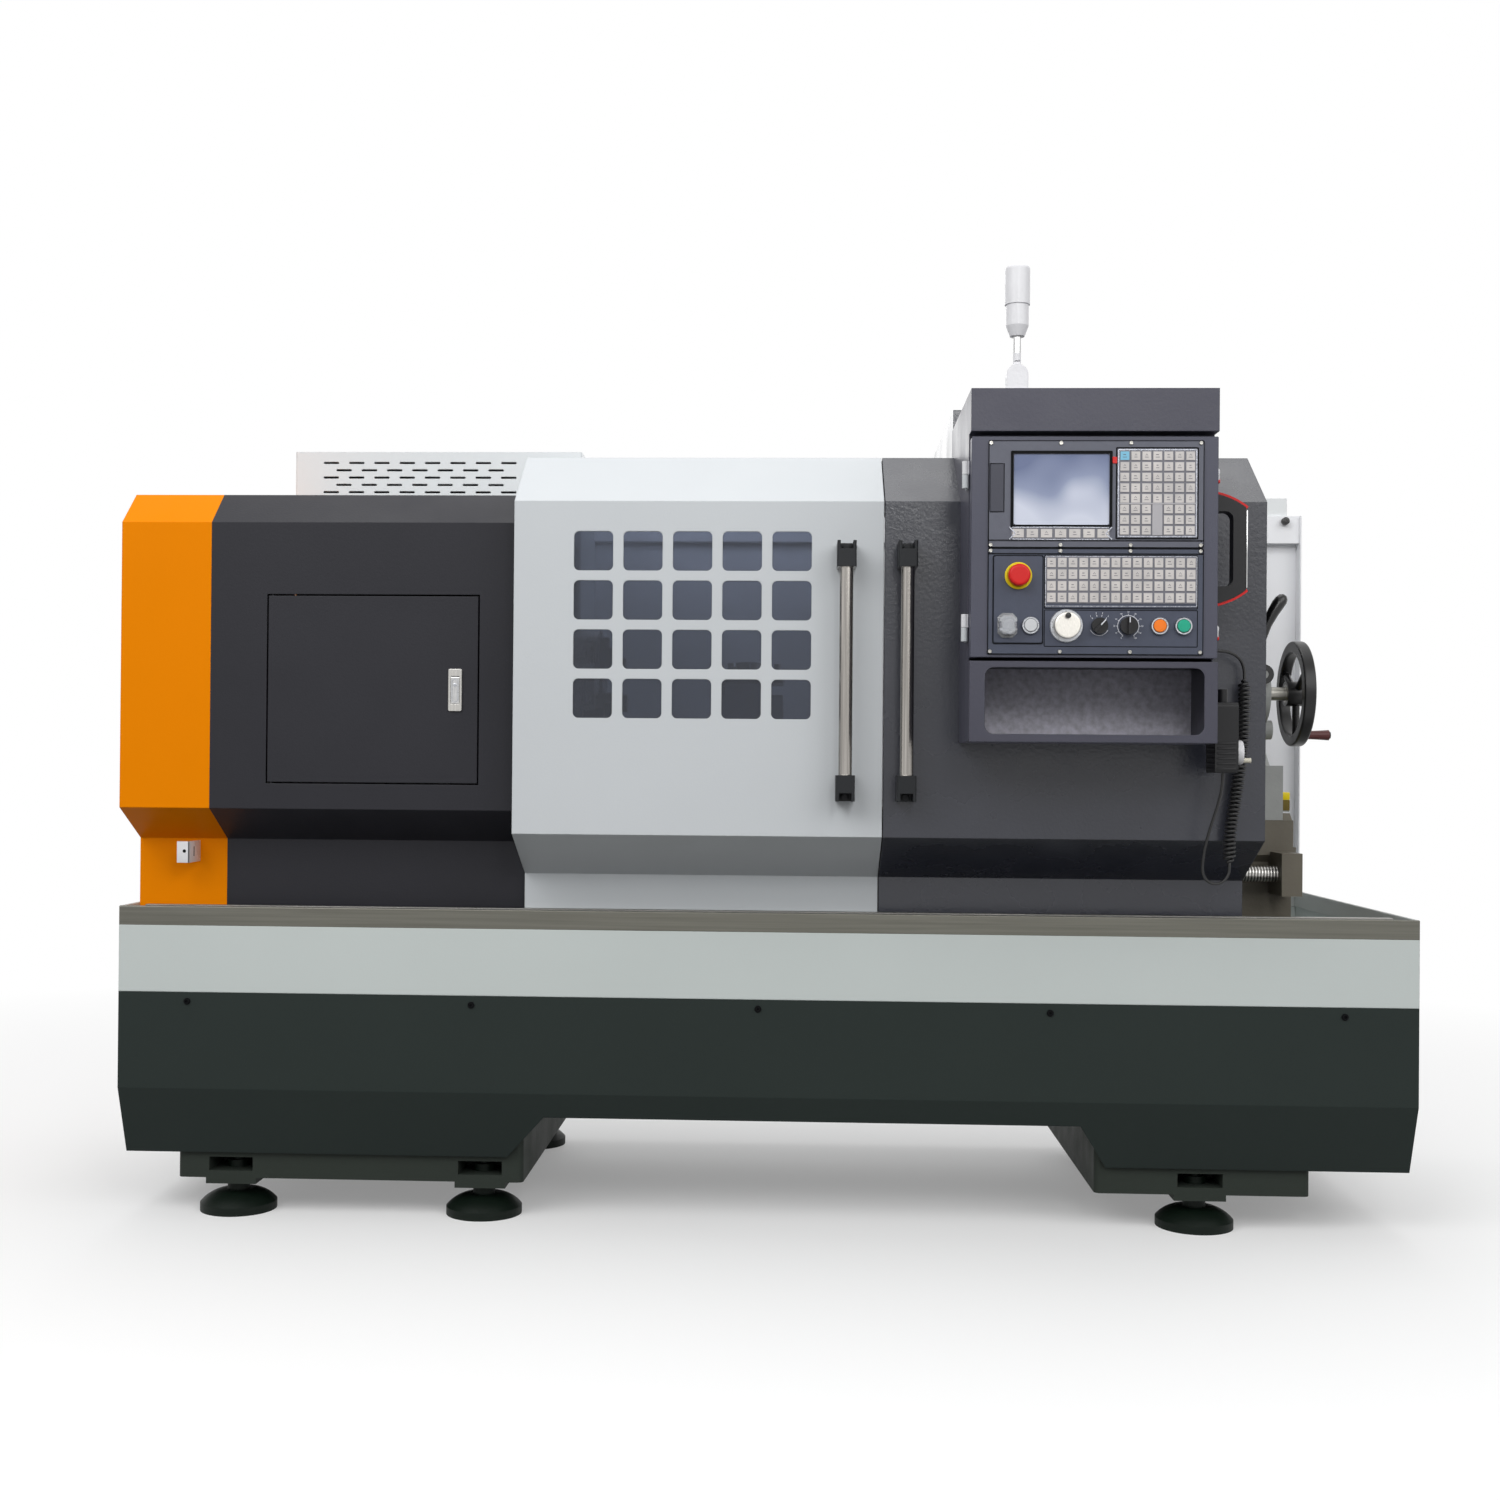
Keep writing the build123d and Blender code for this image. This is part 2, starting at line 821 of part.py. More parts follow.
# Levelling feet: a domed pad with its stud and the nuts on both sides of the lug
with BuildPart() as levelling_feet:
    for x in foot_xs:
        for y in foot_ys:
            with BuildSketch(Plane((x, y, 0), x_dir=(1, 0, 0), z_dir=(0, -1, 0))) as half:
                with BuildLine():
                    Polyline(
                        (foot_neck_radius, foot_pad_height),
                        (foot_nut_radius, foot_pad_height),
                        (foot_nut_radius, lug_bottom),
                        (foot_stud_radius, lug_bottom),
                        (foot_stud_radius, foot_pocket_floor),
                        (foot_nut_radius, foot_pocket_floor),
                        (foot_nut_radius, foot_pocket_floor + foot_nut_height),
                        (foot_stud_radius, foot_pocket_floor + foot_nut_height),
                        (foot_stud_radius, foot_stud_top),
                        (0, foot_stud_top),
                        (0, 0),
                        (foot_pad_radius, 0),
                        (foot_pad_radius, foot_pad_edge),
                    )
                    ThreePointArc(
                        (foot_pad_radius, foot_pad_edge),
                        (
                            foot_neck_radius + (foot_pad_radius - foot_neck_radius) * foot_dome_share,
                            foot_pad_edge + (foot_pad_height - foot_pad_edge) * foot_dome_share,
                        ),
                        (foot_neck_radius, foot_pad_height),
                    )
                make_face()
            revolve(half.sketch, axis=Axis((x, y, 0), (0, 0, 1)))
save(levelling_feet, "levelling_feet")

# Chip tray: an open pan on the legs
with BuildPart() as chip_tray:
    block((tray_left, tray_right), (tray_front, tray_back), (tray_underside, rim_bottom))
    block(
        (tray_left + sheet, tray_right - sheet),
        (tray_front + sheet, tray_back - sheet),
        (tray_floor, rim_bottom + overrun),
        mode=Mode.SUBTRACT,
    )
save(chip_tray, "chip_tray")

# Tray rim: a bare steel lip with a rounded top edge
with BuildPart() as tray_rim:
    with BuildSketch(Plane.XY.offset(rim_bottom)):
        with Locations(((tray_left + tray_right) / 2, (tray_front + tray_back) / 2)):
            Rectangle(tray_length, tray_depth)
            Rectangle(tray_length - rim_thickness * 2, tray_depth - rim_thickness * 2, mode=Mode.SUBTRACT)
    extrude(amount=rim_height)
    fillet(tray_rim.edges().group_by(Axis.Z)[-1], rim_rounding)
save(tray_rim, "tray_rim")

# Skirt: a folded sheet round the base, leaning in below the fold, arched between the legs
with BuildPart() as base_skirt:
    front_line = [
        (tray_front + skirt_lean, skirt_bottom),
        (tray_front, skirt_fold_height),
        (tray_front, tray_underside),
    ]
    back_line = [(tray_back, tray_underside), (tray_back, skirt_bottom)]
    bent_sheet(front_line, sheet, (tray_left, tray_right))
    bent_sheet(back_line, sheet, (tray_left, tray_right))
    for low in (tray_left, tray_right - sheet):
        along_x(front_line + back_line, (low, low + sheet))
    with BuildSketch(Plane.XZ.offset(-tray_back)) as arch:
        with BuildLine():
            rise = arch_top - skirt_bottom
            Polyline(
                (arch_left - arch_left_run * (rise + overrun) / rise, skirt_bottom - overrun),
                (arch_left, arch_top),
                (arch_right, arch_top),
                (arch_right + arch_right_run * (rise + overrun) / rise, skirt_bottom - overrun),
                close=True,
            )
        make_face()
    extrude(arch.sketch, amount=tray_depth, mode=Mode.SUBTRACT)
save(base_skirt, "base_skirt")

# Bed: two walls with ways on top, feet below and ribs between, and the brackets of the long screw
with BuildPart() as bed:
    wall_outline = [
        (bed_front, tray_floor),
        (bed_front, tray_floor + bed_foot_height),
        (bed_front + bed_waist, tray_floor + bed_foot_height + bed_waist),
        (bed_front + bed_waist, bed_top - bed_way_depth - bed_waist),
        (bed_front, bed_top - bed_way_depth),
        (bed_front, bed_top),
        (bed_front + bed_wall, bed_top),
        (bed_front + bed_wall, tray_floor),
    ]
    along_x(wall_outline, (bed_left, bed_right))
    along_x([(bed_front + bed_back - y, z) for y, z in wall_outline], (bed_left, bed_right))
    rib_pitch = (bed_right - bed_left - bed_rib_thickness) / (bed_rib_count - 1)
    for index in range(bed_rib_count):
        rib = bed_left + index * rib_pitch
        block((rib, rib + bed_rib_thickness), (bed_front + bed_wall, bed_back - bed_wall),
              (tray_floor, bed_top - bed_rib_drop))
    for y in (front_way_y, back_way_y):
        along_x([(y - way_width / 2, bed_top), (y, bed_top + way_height), (y + way_width / 2, bed_top)],
                (way_left, bed_right))
    block((bed_right, bed_right + bed_stop_length),
          (axis_y - bed_stop_width / 2, axis_y + bed_stop_width / 2),
          (bed_stop_top - bed_stop_height, bed_stop_top))
    for left in (screw_bracket_left, screw_end_bracket_left):
        bracket = (left, left + screw_bracket_length)
        block(bracket, (screw_y - screw_bracket_front, bed_front + bed_waist),
              (screw_height - screw_bracket_height / 2, screw_height + screw_bracket_height / 2))
        x_cylinder(screw_radius + bearing_gap, (left - overrun, left + screw_bracket_length + overrun),
                   screw_y, screw_height, mode=Mode.SUBTRACT)
save(bed, "bed")

# Headstock: a ribbed casting with bearing caps and a bolted lid
with BuildPart() as headstock:
    half = headstock_width / 2
    casting_y = (axis_y - half, axis_y + half)
    block((headstock_left, headstock_right), casting_y, (bed_top, headstock_top - headstock_lid_height))
    fillet(headstock.edges().filter_by(Axis.X).group_by(Axis.Z)[-1], headstock_rounding)
    margin = headstock_lid_margin + headstock_rounding
    block((headstock_left + headstock_lid_margin, headstock_right - headstock_lid_margin),
          (axis_y - half + margin, axis_y + half - margin),
          (headstock_top - headstock_lid_height, headstock_top))
    rib_pitch = (headstock_right - headstock_left) / (headstock_rib_count + 1)
    for index in range(headstock_rib_count):
        rib = headstock_left + (index + 1) * rib_pitch
        block((rib - headstock_rib_thickness / 2, rib + headstock_rib_thickness / 2),
              (axis_y - half - headstock_rib_depth, axis_y - half), (bed_top, spindle_height))
    for cap in (headstock_left - bearing_cap_length, headstock_right):
        x_cylinder(bearing_cap_radius, (cap, cap + bearing_cap_length), axis_y, spindle_height)
    x_cylinder(spindle_radius + bearing_gap,
               (headstock_left - bearing_cap_length - overrun,
                headstock_right + bearing_cap_length + overrun),
               axis_y, spindle_height, mode=Mode.SUBTRACT)
save(headstock, "headstock")

# Spindle: a hollow turned shaft with its nose flange and belt pulley
with BuildPart() as spindle:
    journal_left = headstock_left - bearing_cap_length
    flange_left = spindle_nose - spindle_flange_length
    pulley_right = pulley_left + pulley_width
    lip = spindle_pulley_radius + pulley_flange
    around_x(
        [
            (spindle_left, spindle_bore_radius),
            (spindle_left, spindle_tail_radius),
            (pulley_left, spindle_tail_radius),
            (pulley_left, lip),
            (pulley_left + pulley_flange_width, lip),
            (pulley_left + pulley_flange_width, spindle_pulley_radius),
            (pulley_right - pulley_flange_width, spindle_pulley_radius),
            (pulley_right - pulley_flange_width, lip),
            (pulley_right, lip),
            (pulley_right, spindle_radius),
            (flange_left, spindle_radius),
            (flange_left, spindle_flange_radius),
            (spindle_nose, spindle_flange_radius),
            (spindle_nose, spindle_bore_radius),
        ],
        axis_y,
        spindle_height,
    )
save(spindle, "spindle")

# Chuck: a turned body with a groove round it and three radial jaw slots
chuck_right = spindle_nose + chuck_length
with BuildPart() as chuck_body:
    groove = spindle_nose + chuck_length / 2
    around_x(
        [
            (spindle_nose, chuck_bore_radius),
            (spindle_nose, chuck_radius),
            (groove - chuck_groove_width / 2, chuck_radius),
            (groove - chuck_groove_width / 2, chuck_radius - chuck_groove_depth),
            (groove + chuck_groove_width / 2, chuck_radius - chuck_groove_depth),
            (groove + chuck_groove_width / 2, chuck_radius),
            (chuck_right, chuck_radius),
            (chuck_right, chuck_bore_radius),
        ],
        axis_y,
        spindle_height,
    )
    with BuildSketch(Plane.YZ.offset(chuck_right)) as slots:
        with Locations((axis_y, spindle_height)):
            with PolarLocations(chuck_radius / 2, jaw_count, start_angle=90):
                Rectangle(chuck_radius + overrun, jaw_slot_width)
    extrude(slots.sketch, amount=-jaw_slot_depth, mode=Mode.SUBTRACT)
save(chuck_body, "chuck_body")

# Jaws: stepped blocks that slide in the chuck's slots
jaw_width = jaw_slot_width - running_gap * 2
for index in range(jaw_count):
    with BuildPart() as jaw:
        jaw_floor = chuck_right - jaw_slot_depth + jaw_floor_gap
        with BuildSketch(Plane((0, axis_y, spindle_height), x_dir=(1, 0, 0), z_dir=(0, -1, 0))) as outline:
            with BuildLine():
                step_run = jaw_length / jaw_step_count
                step_rise = jaw_reach / jaw_step_count
                points = [(jaw_floor, jaw_inner_radius)]
                for step in range(jaw_step_count):
                    height = chuck_right + jaw_reach - step * step_rise
                    points.append((height, jaw_inner_radius + step * step_run))
                    points.append((height, jaw_inner_radius + (step + 1) * step_run))
                points.append((jaw_floor, jaw_inner_radius + jaw_length))
                Polyline(*points, close=True)
            make_face()
        extrude(outline.sketch, amount=jaw_width / 2, both=True)
    jaw_turn = Axis((0, axis_y, spindle_height), (1, 0, 0))
    jaw.part = jaw.part.rotate(jaw_turn, index * 360 / jaw_count)
    save(jaw, f"chuck_jaw_{index + 1}")

# Main motor: a finned barrel on a foot, with its fan cover
with BuildPart() as main_motor:
    motor_right = motor_left + motor_length
    barrel_right = motor_right - motor_fan_cover_length
    x_cylinder(motor_radius - motor_fin_height, (motor_left, barrel_right), motor_y, motor_height)
    with BuildSketch(Plane.YZ.offset(motor_left)) as fins:
        with Locations((motor_y, motor_height)):
            with PolarLocations(motor_radius - motor_fin_height, motor_fin_count):
                Rectangle(motor_fin_height * 2, motor_fin_width)
    extrude(fins.sketch, amount=barrel_right - motor_left)
    x_cylinder(motor_radius, (barrel_right, motor_right), motor_y, motor_height)
    block((motor_left, barrel_right), (motor_y - motor_foot_width / 2, motor_y + motor_foot_width / 2),
          (headstock_top, motor_height - motor_radius * motor_foot_share))
    x_cylinder(motor_shaft_radius + bearing_gap,
               (motor_left - overrun, motor_left + motor_shaft_depth + overrun),
               motor_y, motor_height, mode=Mode.SUBTRACT)
save(main_motor, "main_motor")

# Motor pulley on its shaft
with BuildPart() as motor_pulley:
    lip = motor_pulley_radius + pulley_flange
    around_x(
        [
            (pulley_left, 0),
            (pulley_left, lip),
            (pulley_left + pulley_flange_width, lip),
            (pulley_left + pulley_flange_width, motor_pulley_radius),
            (pulley_right - pulley_flange_width, motor_pulley_radius),
            (pulley_right - pulley_flange_width, lip),
            (pulley_right, lip),
            (pulley_right, motor_shaft_radius),
            (motor_left + motor_shaft_depth, motor_shaft_radius),
            (motor_left + motor_shaft_depth, 0),
        ],
        motor_y,
        motor_height,
    )
save(motor_pulley, "motor_pulley")

# Drive belt: a closed band round both pulleys
with BuildPart() as drive_belt:
    belt_x = (pulley_left + pulley_flange_width + running_gap,
              pulley_right - pulley_flange_width - running_gap)
    with BuildSketch(Plane.YZ.offset(belt_x[0])) as band:
        for thickness, mode in ((belt_thickness, Mode.ADD), (0, Mode.SUBTRACT)):
            with BuildSketch(Plane.YZ.offset(belt_x[0]), mode=Mode.PRIVATE) as loop:
                with Locations((axis_y, spindle_height)):
                    Circle(spindle_pulley_radius + running_gap + thickness)
                with Locations((motor_y, motor_height)):
                    Circle(motor_pulley_radius + running_gap + thickness)
                make_hull()
            add(loop.sketch_local, mode=mode)
    extrude(band.sketch, amount=belt_x[1] - belt_x[0])
save(drive_belt, "drive_belt")

# Servo motor of the long screw, on its bracket
with BuildPart() as z_servo:
    servo_right = screw_bracket_left
    cap_left = servo_right - servo_length
    for x, size in (
        ((cap_left + servo_cap_length, servo_right), servo_size),
        ((cap_left, cap_left + servo_cap_length), servo_size - servo_cap_inset * 2),
    ):
        with BuildSketch(Plane.YZ.offset(x[0])) as section:
            with Locations((screw_y, screw_height)):
                RectangleRounded(size, size, servo_rounding)
        extrude(section.sketch, amount=x[1] - x[0])
save(z_servo, "z_servo")

# Long screw between its brackets
with BuildPart() as z_screw:
    x_cylinder(screw_radius, (screw_bracket_left, screw_end_bracket_left + screw_bracket_length),
               screw_y, screw_height)
save(z_screw, "z_screw")

# Saddle: a waisted plate on the ways with an apron, a dovetail and the cross servo behind
saddle_front = bed_front - saddle_front_overhang
saddle_back = bed_back + saddle_back_overhang
saddle_right = saddle_left + saddle_length
with BuildPart() as saddle:
    block((saddle_left, saddle_right), (saddle_front, saddle_back), (saddle_bottom, saddle_top))
    middle = (bed_front + bed_wall * 2, bed_back - bed_wall * 2)
    for x in ((saddle_left - overrun, saddle_left + saddle_wing_cut),
              (saddle_right - saddle_wing_cut, saddle_right + overrun)):
        block(x, middle, (saddle_bottom - overrun, saddle_top + overrun), mode=Mode.SUBTRACT)
    for y in (front_way_y, back_way_y):
        half_way = way_width / 2 + slide_gap
        along_x([(y - half_way, saddle_bottom), (y, saddle_bottom + way_height + slide_gap),
                 (y + half_way, saddle_bottom)], (saddle_left - overrun, saddle_right + overrun),
                 mode=Mode.SUBTRACT)
    apron_back = bed_front - slide_gap
    block((apron_left, apron_left + apron_length), (saddle_front, apron_back), (apron_bottom, saddle_bottom))
    fillet(saddle.edges().filter_by(Axis.Y).group_by(Axis.Z)[0], apron_rounding)
    x_cylinder(screw_radius + running_gap, (apron_left - overrun, apron_left + apron_length + overrun),
               screw_y, screw_height, mode=Mode.SUBTRACT)
    with BuildSketch(Plane.XZ.offset(-saddle_back)) as tail:
        with BuildLine():
            half_top = dovetail_width / 2
            half_root = half_top - dovetail_undercut
            Polyline((-half_root, 0), (-half_top, dovetail_height), (half_top, dovetail_height),
                     (half_root, 0), close=True)
        make_face()
    extrude(tail.sketch.moved(Location((dovetail_centre, 0, saddle_top))), amount=saddle_back - saddle_front)
    half_servo = cross_servo_size / 2
    with BuildSketch(Plane.XZ.offset(-saddle_back - cross_servo_length)) as servo:
        with Locations((dovetail_centre, saddle_top - half_servo)):
            RectangleRounded(cross_servo_size, cross_servo_size, servo_rounding)
    extrude(servo.sketch, amount=cross_servo_length)
save(saddle, "saddle")

# Cross slide: a block on the saddle's dovetail, with the turret's base on top
slide_front = tray_front + cross_slide_front_setback
with BuildPart() as cross_slide:
    half_slide = cross_slide_width / 2
    block((dovetail_centre - half_slide, dovetail_centre + half_slide),
          (slide_front, slide_front + cross_slide_length), (slide_bottom, slide_top))
    with BuildSketch(Plane.XZ.offset(-slide_front - cross_slide_length - overrun)) as groove:
        with BuildLine():
            half_top = dovetail_width / 2 + slide_gap
            half_root = half_top - dovetail_undercut
            Polyline((-half_root, -slide_gap), (-half_top, dovetail_height), (half_top, dovetail_height),
                     (half_root, -slide_gap), close=True)
        make_face()
    extrude(groove.sketch.moved(Location((dovetail_centre, 0, slide_bottom))),
            amount=cross_slide_length + overrun * 2, mode=Mode.SUBTRACT)
    half_base = turret_base_size / 2
    block((dovetail_centre - half_base, dovetail_centre + half_base),
          (turret_y - half_base, turret_y + half_base), (slide_top, turret_floor))
    z_cylinder(turret_post_radius, dovetail_centre, turret_y,
               (turret_floor, turret_floor + turret_post_height))
save(cross_slide, "cross_slide")

# Tool turret: a square head with four tool slots, its bolts, clamp knob and one tool
with BuildPart() as tool_turret:
    half_head = turret_size / 2
    block((dovetail_centre - half_head, dovetail_centre + half_head),
          (turret_y - half_head, turret_y + half_head),
          (head_bottom, head_top))
    slot_z = (turret_slot_bottom, turret_slot_top)
    for side in (-1, 1):
        edge = sorted((side * (half_head - turret_slot_depth), side * (half_head + overrun)))
        long_side = (-half_head - overrun, half_head + overrun)
        block([dovetail_centre + v for v in edge], [turret_y + v for v in long_side], slot_z,
              mode=Mode.SUBTRACT)
        block([dovetail_centre + v for v in long_side], [turret_y + v for v in edge], slot_z,
              mode=Mode.SUBTRACT)
    z_cylinder(turret_post_radius + bearing_gap, dovetail_centre, turret_y,
               (head_bottom - overrun, turret_floor + turret_post_height + running_gap), mode=Mode.SUBTRACT)
    bolt_ring = half_head - turret_slot_depth / 2
    for step in (-1, 0, 1):
        for side in (-1, 1):
            for x, y in ((step * turret_bolt_spacing, side * bolt_ring),
                         (side * bolt_ring, step * turret_bolt_spacing)):
                z_cylinder(turret_bolt_radius, dovetail_centre + x, turret_y + y,
                           (head_top, head_top + turret_bolt_height))
    z_cylinder(turret_knob_radius, dovetail_centre, turret_y, (head_top, head_top + turret_knob_height))
    tool_left = dovetail_centre - half_head
    tool_back = turret_y + tool_length
    with BuildSketch(Plane.XY.offset(slot_z[0])) as tool:
        with BuildLine():
            Polyline((tool_left, turret_y), (tool_left, tool_back),
                     (tool_left + tool_tip_run, tool_back - tool_tip_run),
                     (tool_left + tool_size, tool_back - tool_tip_run), (tool_left + tool_size, turret_y),
                     close=True)
        make_face()
    extrude(tool.sketch, amount=tool_size)
save(tool_turret, "tool_turret")

# Tailstock: a base on the ways, a waisted web and the quill barrel with its rear cap
base_top = saddle_bottom + tailstock_base_height
with BuildPart() as tailstock:
    block((tailstock_left, tailstock_right), (bed_front, bed_back), (saddle_bottom, base_top))
    for y in (front_way_y, back_way_y):
        half_way = way_width / 2 + slide_gap
        along_x([(y - half_way, saddle_bottom), (y, saddle_bottom + way_height + slide_gap),
                 (y + half_way, saddle_bottom)], (tailstock_left - overrun, tailstock_right + overrun),
                mode=Mode.SUBTRACT)
    along_x(
        [
            (axis_y - tailstock_foot_width / 2, base_top),
            (axis_y - tailstock_web_width / 2, spindle_height - tailstock_barrel_radius),
            (axis_y - tailstock_web_width / 2, spindle_height),
            (axis_y + tailstock_web_width / 2, spindle_height),
            (axis_y + tailstock_web_width / 2, spindle_height - tailstock_barrel_radius),
            (axis_y + tailstock_foot_width / 2, base_top),
        ],
        (tailstock_web_left, tailstock_web_left + tailstock_web_length),
    )
    x_cylinder(tailstock_barrel_radius, (tailstock_barrel_left, tailstock_barrel_right), axis_y,
               spindle_height)
    x_cylinder(quill_radius + bearing_gap,
               (tailstock_barrel_left - overrun, tailstock_barrel_right - tailstock_cap_length),
               axis_y, spindle_height, mode=Mode.SUBTRACT)
    x_cylinder(handwheel_screw_radius + bearing_gap,
               (tailstock_barrel_left, tailstock_barrel_right + overrun), axis_y, spindle_height,
               mode=Mode.SUBTRACT)
    web_right = tailstock_web_left + tailstock_web_length
    x_cylinder(tailstock_boss_radius, (web_right, tailstock_barrel_right + tailstock_boss_length),
               axis_y, spindle_height - tailstock_boss_drop)
    block((tailstock_right, tailstock_right + wiper_length),
          (axis_y - wiper_width / 2, axis_y + wiper_width / 2),
          (wiper_bottom, wiper_bottom + wiper_height))
    y_cylinder(lever_pin_radius, lever_x,
               (axis_y - tailstock_barrel_radius - lever_hub_length,
                axis_y - quill_radius - lever_pin_end_gap),
               lever_height)
save(tailstock, "tailstock")

# Quill with its live centre
with BuildPart() as quill:
    around_x(
        [
            (quill_right, quill_bore_radius),
            (quill_right, quill_radius),
            (quill_left, quill_radius),
            (quill_left, centre_radius),
            (quill_left - centre_neck, centre_radius),
            (quill_left - centre_neck - centre_length, 0),
            (quill_bore_left, 0),
            (quill_bore_left, quill_bore_radius),
        ],
        axis_y,
        spindle_height,
    )
save(quill, "quill")

# Tailstock handwheel: round rim, three spokes, hub, feed screw and the fixed pin of the crank grip
handwheel_x = handwheel_left + handwheel_rim / 2
crank_z = spindle_height - crank_radius
rim_right = handwheel_left + handwheel_rim
with BuildPart() as handwheel:
    with BuildSketch(Plane((handwheel_x, axis_y, spindle_height), x_dir=(1, 0, 0), z_dir=(0, -1, 0))) as ring:
        with Locations((0, handwheel_radius - handwheel_rim / 2)):
            RectangleRounded(handwheel_rim, handwheel_rim, handwheel_rim_rounding)
    revolve(ring.sketch, axis=Axis((0, axis_y, spindle_height), (1, 0, 0)))
    hub_left = handwheel_x - handwheel_hub_length / 2
    x_cylinder(handwheel_hub_radius, (hub_left, hub_left + handwheel_hub_length), axis_y, spindle_height)
    for index in range(handwheel_spoke_count):
        angle = index * 360 / handwheel_spoke_count
        spoke = Plane((handwheel_x, axis_y, spindle_height), x_dir=(1, 0, 0),
                      z_dir=(0, math.sin(math.radians(angle)), -math.cos(math.radians(angle))))
        with BuildSketch(spoke) as section:
            Circle(handwheel_spoke_radius)
        extrude(section.sketch, amount=handwheel_radius - handwheel_rim / 2)
    x_cylinder(handwheel_screw_radius, (hub_left - handwheel_screw_length, hub_left), axis_y, spindle_height)
    x_cylinder(crank_pin_radius, (handwheel_x, rim_right + crank_pin_length), axis_y, crank_z)
    x_cylinder(crank_head_radius,
               (rim_right + crank_pin_length, rim_right + crank_pin_length + crank_head_length),
               axis_y, crank_z)
save(handwheel, "handwheel")

# Crank grip: a turned sleeve that spins on the handwheel's pin
with BuildPart() as crank_grip:
    grip_end = rim_right + crank_pin_length - running_gap
    grip_start = grip_end - grip_length
    grip_middle = (grip_start + grip_end) / 2
    with BuildSketch(Plane((0, axis_y, crank_z), x_dir=(1, 0, 0), z_dir=(0, -1, 0))) as section:
        with BuildLine():
            inner = crank_pin_radius + bearing_gap
            Polyline((grip_end, grip_radius), (grip_end, inner), (grip_start, inner),
                     (grip_start, grip_waist_radius))
            Spline((grip_start, grip_waist_radius), (grip_middle, grip_middle_radius),
                   (grip_end, grip_radius))
        make_face()
    revolve(section.sketch, axis=Axis((0, axis_y, crank_z), (1, 0, 0)))
save(crank_grip, "crank_grip")

# Quill clamp lever: a hub on the tailstock's pin, a bowed rod and a ball end
with BuildPart() as quill_lever:
    hub_back = axis_y - tailstock_barrel_radius - running_gap
    hub_y = hub_back - lever_hub_length / 2
    y_cylinder(lever_hub_radius, lever_x, (hub_back - lever_hub_length, hub_back), lever_height)
    tip = (lever_x + lever_reach_x, hub_y, lever_height + lever_reach_z)
    with BuildLine() as rod:
        ThreePointArc((lever_x, hub_y, lever_height),
                      (lever_x + lever_reach_x / 2 - lever_bow, hub_y, lever_height + lever_reach_z / 2), tip)
    with BuildSketch(Plane(rod.line @ 0, z_dir=rod.line % 0)) as section:
        Circle(lever_rod_radius)
    sweep(section.sketch, path=rod.line)
    with Locations(tip):
        Sphere(lever_knob_radius)
    y_cylinder(lever_pin_radius + bearing_gap, lever_x,
               (hub_back - lever_hub_length - overrun, hub_back + overrun),
               lever_height, mode=Mode.SUBTRACT)
save(quill_lever, "quill_lever")

# Headstock cover and end cover share one bent section
cover_line = [
    (cover_base, tray_floor),
    (cover_base, cover_chamfer_bottom),
    (cover_face, cover_face_bottom),
    (cover_face, cover_face_top),
    (tray_front + cover_top_setback, cover_top),
    (cover_back, cover_top),
]
cover_end_outline = cover_line + [(cover_back, tray_floor)]
access_right = access_left + access_width
access_top = access_bottom + access_height
access_axis_x = access_left + access_pin_inset
access_axis_y = cover_face + access_pin_inset
with BuildPart() as headstock_cover:
    bent_sheet(cover_line, sheet, (cover_split, cover_right))
    along_x(cover_end_outline, (cover_right - sheet, cover_right))
    wall_x = (cover_right - sheet - overrun, cover_right + overrun)
    x_cylinder(spindle_flange_radius + cover_nose_gap, wall_x, axis_y, spindle_height, mode=Mode.SUBTRACT)
    block(wall_x, (screw_y - servo_size / 2, cover_back + overrun),
          (tray_floor - overrun, bed_top + way_height + cover_nose_gap),
          mode=Mode.SUBTRACT)
    block((access_left - access_gap, access_right + access_gap),
          (cover_face - overrun, cover_face + sheet + overrun),
          (access_bottom - access_gap, access_top + access_gap), mode=Mode.SUBTRACT)
    for edge, outward in ((access_bottom, -1), (access_top, 1)):
        seam = edge + outward * access_gap
        lug = sorted((seam, seam + outward * access_lug_height))
        block((access_axis_x - access_lug_width / 2, access_axis_x + access_lug_width / 2),
              (cover_face + sheet, cover_face + access_pan_depth), lug)
        pin = sorted((edge - outward * access_pin_reach, seam + outward * access_lug_height))
        z_cylinder(access_pin_radius, access_axis_x, access_axis_y, pin)
save(headstock_cover, "headstock_cover")

with BuildPart() as end_cover:
    bent_sheet(cover_line, sheet, (end_cover_left, cover_split))
    along_x(cover_end_outline, (end_cover_left, end_cover_left + sheet))
    block((end_cover_left, cover_split), (cover_back - sheet, cover_back), (tray_floor, cover_top))
save(end_cover, "end_cover")

